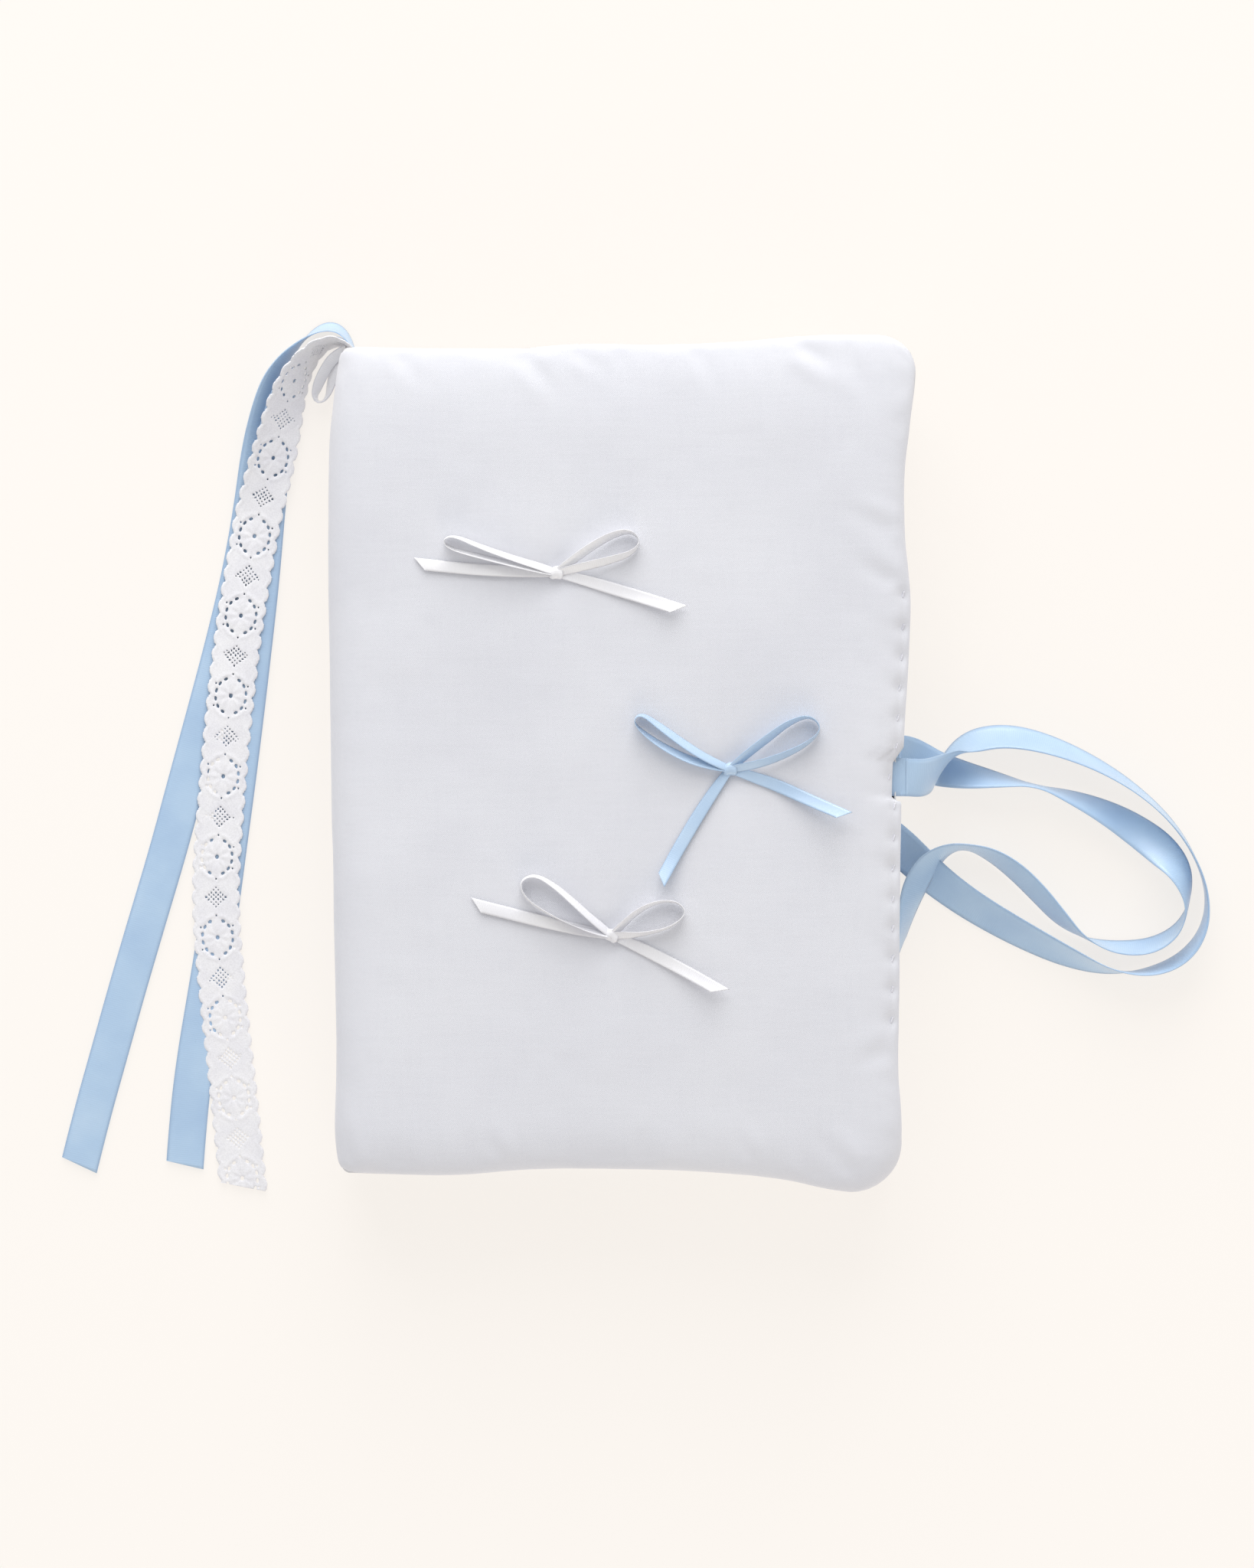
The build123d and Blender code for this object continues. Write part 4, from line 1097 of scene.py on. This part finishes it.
def sewn_end(name, node, body, x_range, y, z_range):
    """The tie's folded end where it is caught in the seam: two layers of ribbon joined by a fold."""
    half, half_thick = RIBBON_WIDTH / 2, RIBBON_THICK / 2
    (x0, x1), (z0, z1) = x_range, z_range
    line = np.linspace(y - half, y + half, 15)
    middle_z, fold_radius = (z0 + z1) / 2, (z1 - z0 - 0.5) / 2
    layers = []
    for z in (z0 + 0.25, z1 - 0.25):
        grid_x, grid_y = np.meshgrid(np.linspace(x0, x1, 7), line, indexing="ij")
        top = np.stack([grid_x, grid_y, z + half_thick + 0.08 * soft_noise(grid_x, grid_y, 2.2, 81)], -1)
        layers.append((top, top - [0, 0, RIBBON_THICK]))
    a, fold_y = np.meshgrid(np.radians(np.linspace(-90, 90, 9)), line, indexing="ij")
    fold = np.stack([x1 + fold_radius * np.cos(a), fold_y, middle_z + fold_radius * np.sin(a)], -1)
    normal = np.stack([np.cos(a), 0 * a, np.sin(a)], -1)
    layers.append((fold + half_thick * normal, fold - half_thick * normal))
    parts = []
    for top, bottom in layers:
        points, faces = closed_slab(top, bottom)
        middle = (top + bottom) / 2
        across = np.tile(((middle[..., 1] - y) / half).ravel(), 2)
        wide = np.tile([0.0, 1.0, 0.0], (len(points), 1))
        parts.append((points, faces, np.tile(middle[..., 0].ravel(), 2), across, wide))
    join_parts(name, parts, BLUE_SATIN, node, body)


sewn_end("tie_end_front", "tie_tack_front", "front_cover", (71.0, 75.0), TIE_Y["front"], (25.4, 27.1))
sewn_end("tie_end_back", "tie_tack_back", "back_cover", (71.2, 73.6), TIE_Y["back"], (8.0, 9.7))


# ------------------------------------------------ floor and light
def add_floor():
    """A wide pale table. It glows a little, so that it stays even round the book."""
    look = Shading("floor", (0.22, 0.212, 0.203), 0.9, Specular_IOR_Level=0.1, Emission_Strength=0.76,
                   Emission_Color=(1.0, 0.955, 0.905, 1))
    half, z = 3000, -0.05
    floor = make_object("floor", [(-half, -half, z), (half, -half, z), (half, half, z), (-half, half, z)],
                        [[0, 1, 2, 3]])
    floor.data.materials.append(look.material)


def add_light(name, location, target, size, power, colour):
    data = bpy.data.lights.new(name, "AREA")
    data.shape = "DISK"
    data.size = size
    data.energy = power
    data.color = colour
    light = bpy.data.objects.new(name, data)
    light.location = location
    light.rotation_euler = (Vector(target) - Vector(location)).to_track_quat("-Z", "Y").to_euler()
    SCENE.collection.objects.link(light)


add_floor()
add_light("window", (-0.2, 1.5, 0.85), (0, 0, 0), 1.9, 21.0, (1.0, 0.99, 0.985))
add_light("head_glow", (0.1, 1.5, 0.32), (0, 0.1, 0.02), 1.0, 9.5, (1.0, 0.98, 0.96))
add_light("table_glow", (0.35, -1.5, 0.5), (0, 0, 0), 1.2, 6.5, (1.0, 0.88, 0.74))
SCENE.world = bpy.data.worlds.new("room")
SCENE.world.use_nodes = True
ROOM = SCENE.world.node_tree.nodes["Background"].inputs
ROOM["Color"].default_value = (0.98, 0.98, 0.985, 1)
ROOM["Strength"].default_value = 0.67
SCENE.view_settings.view_transform = "Standard"
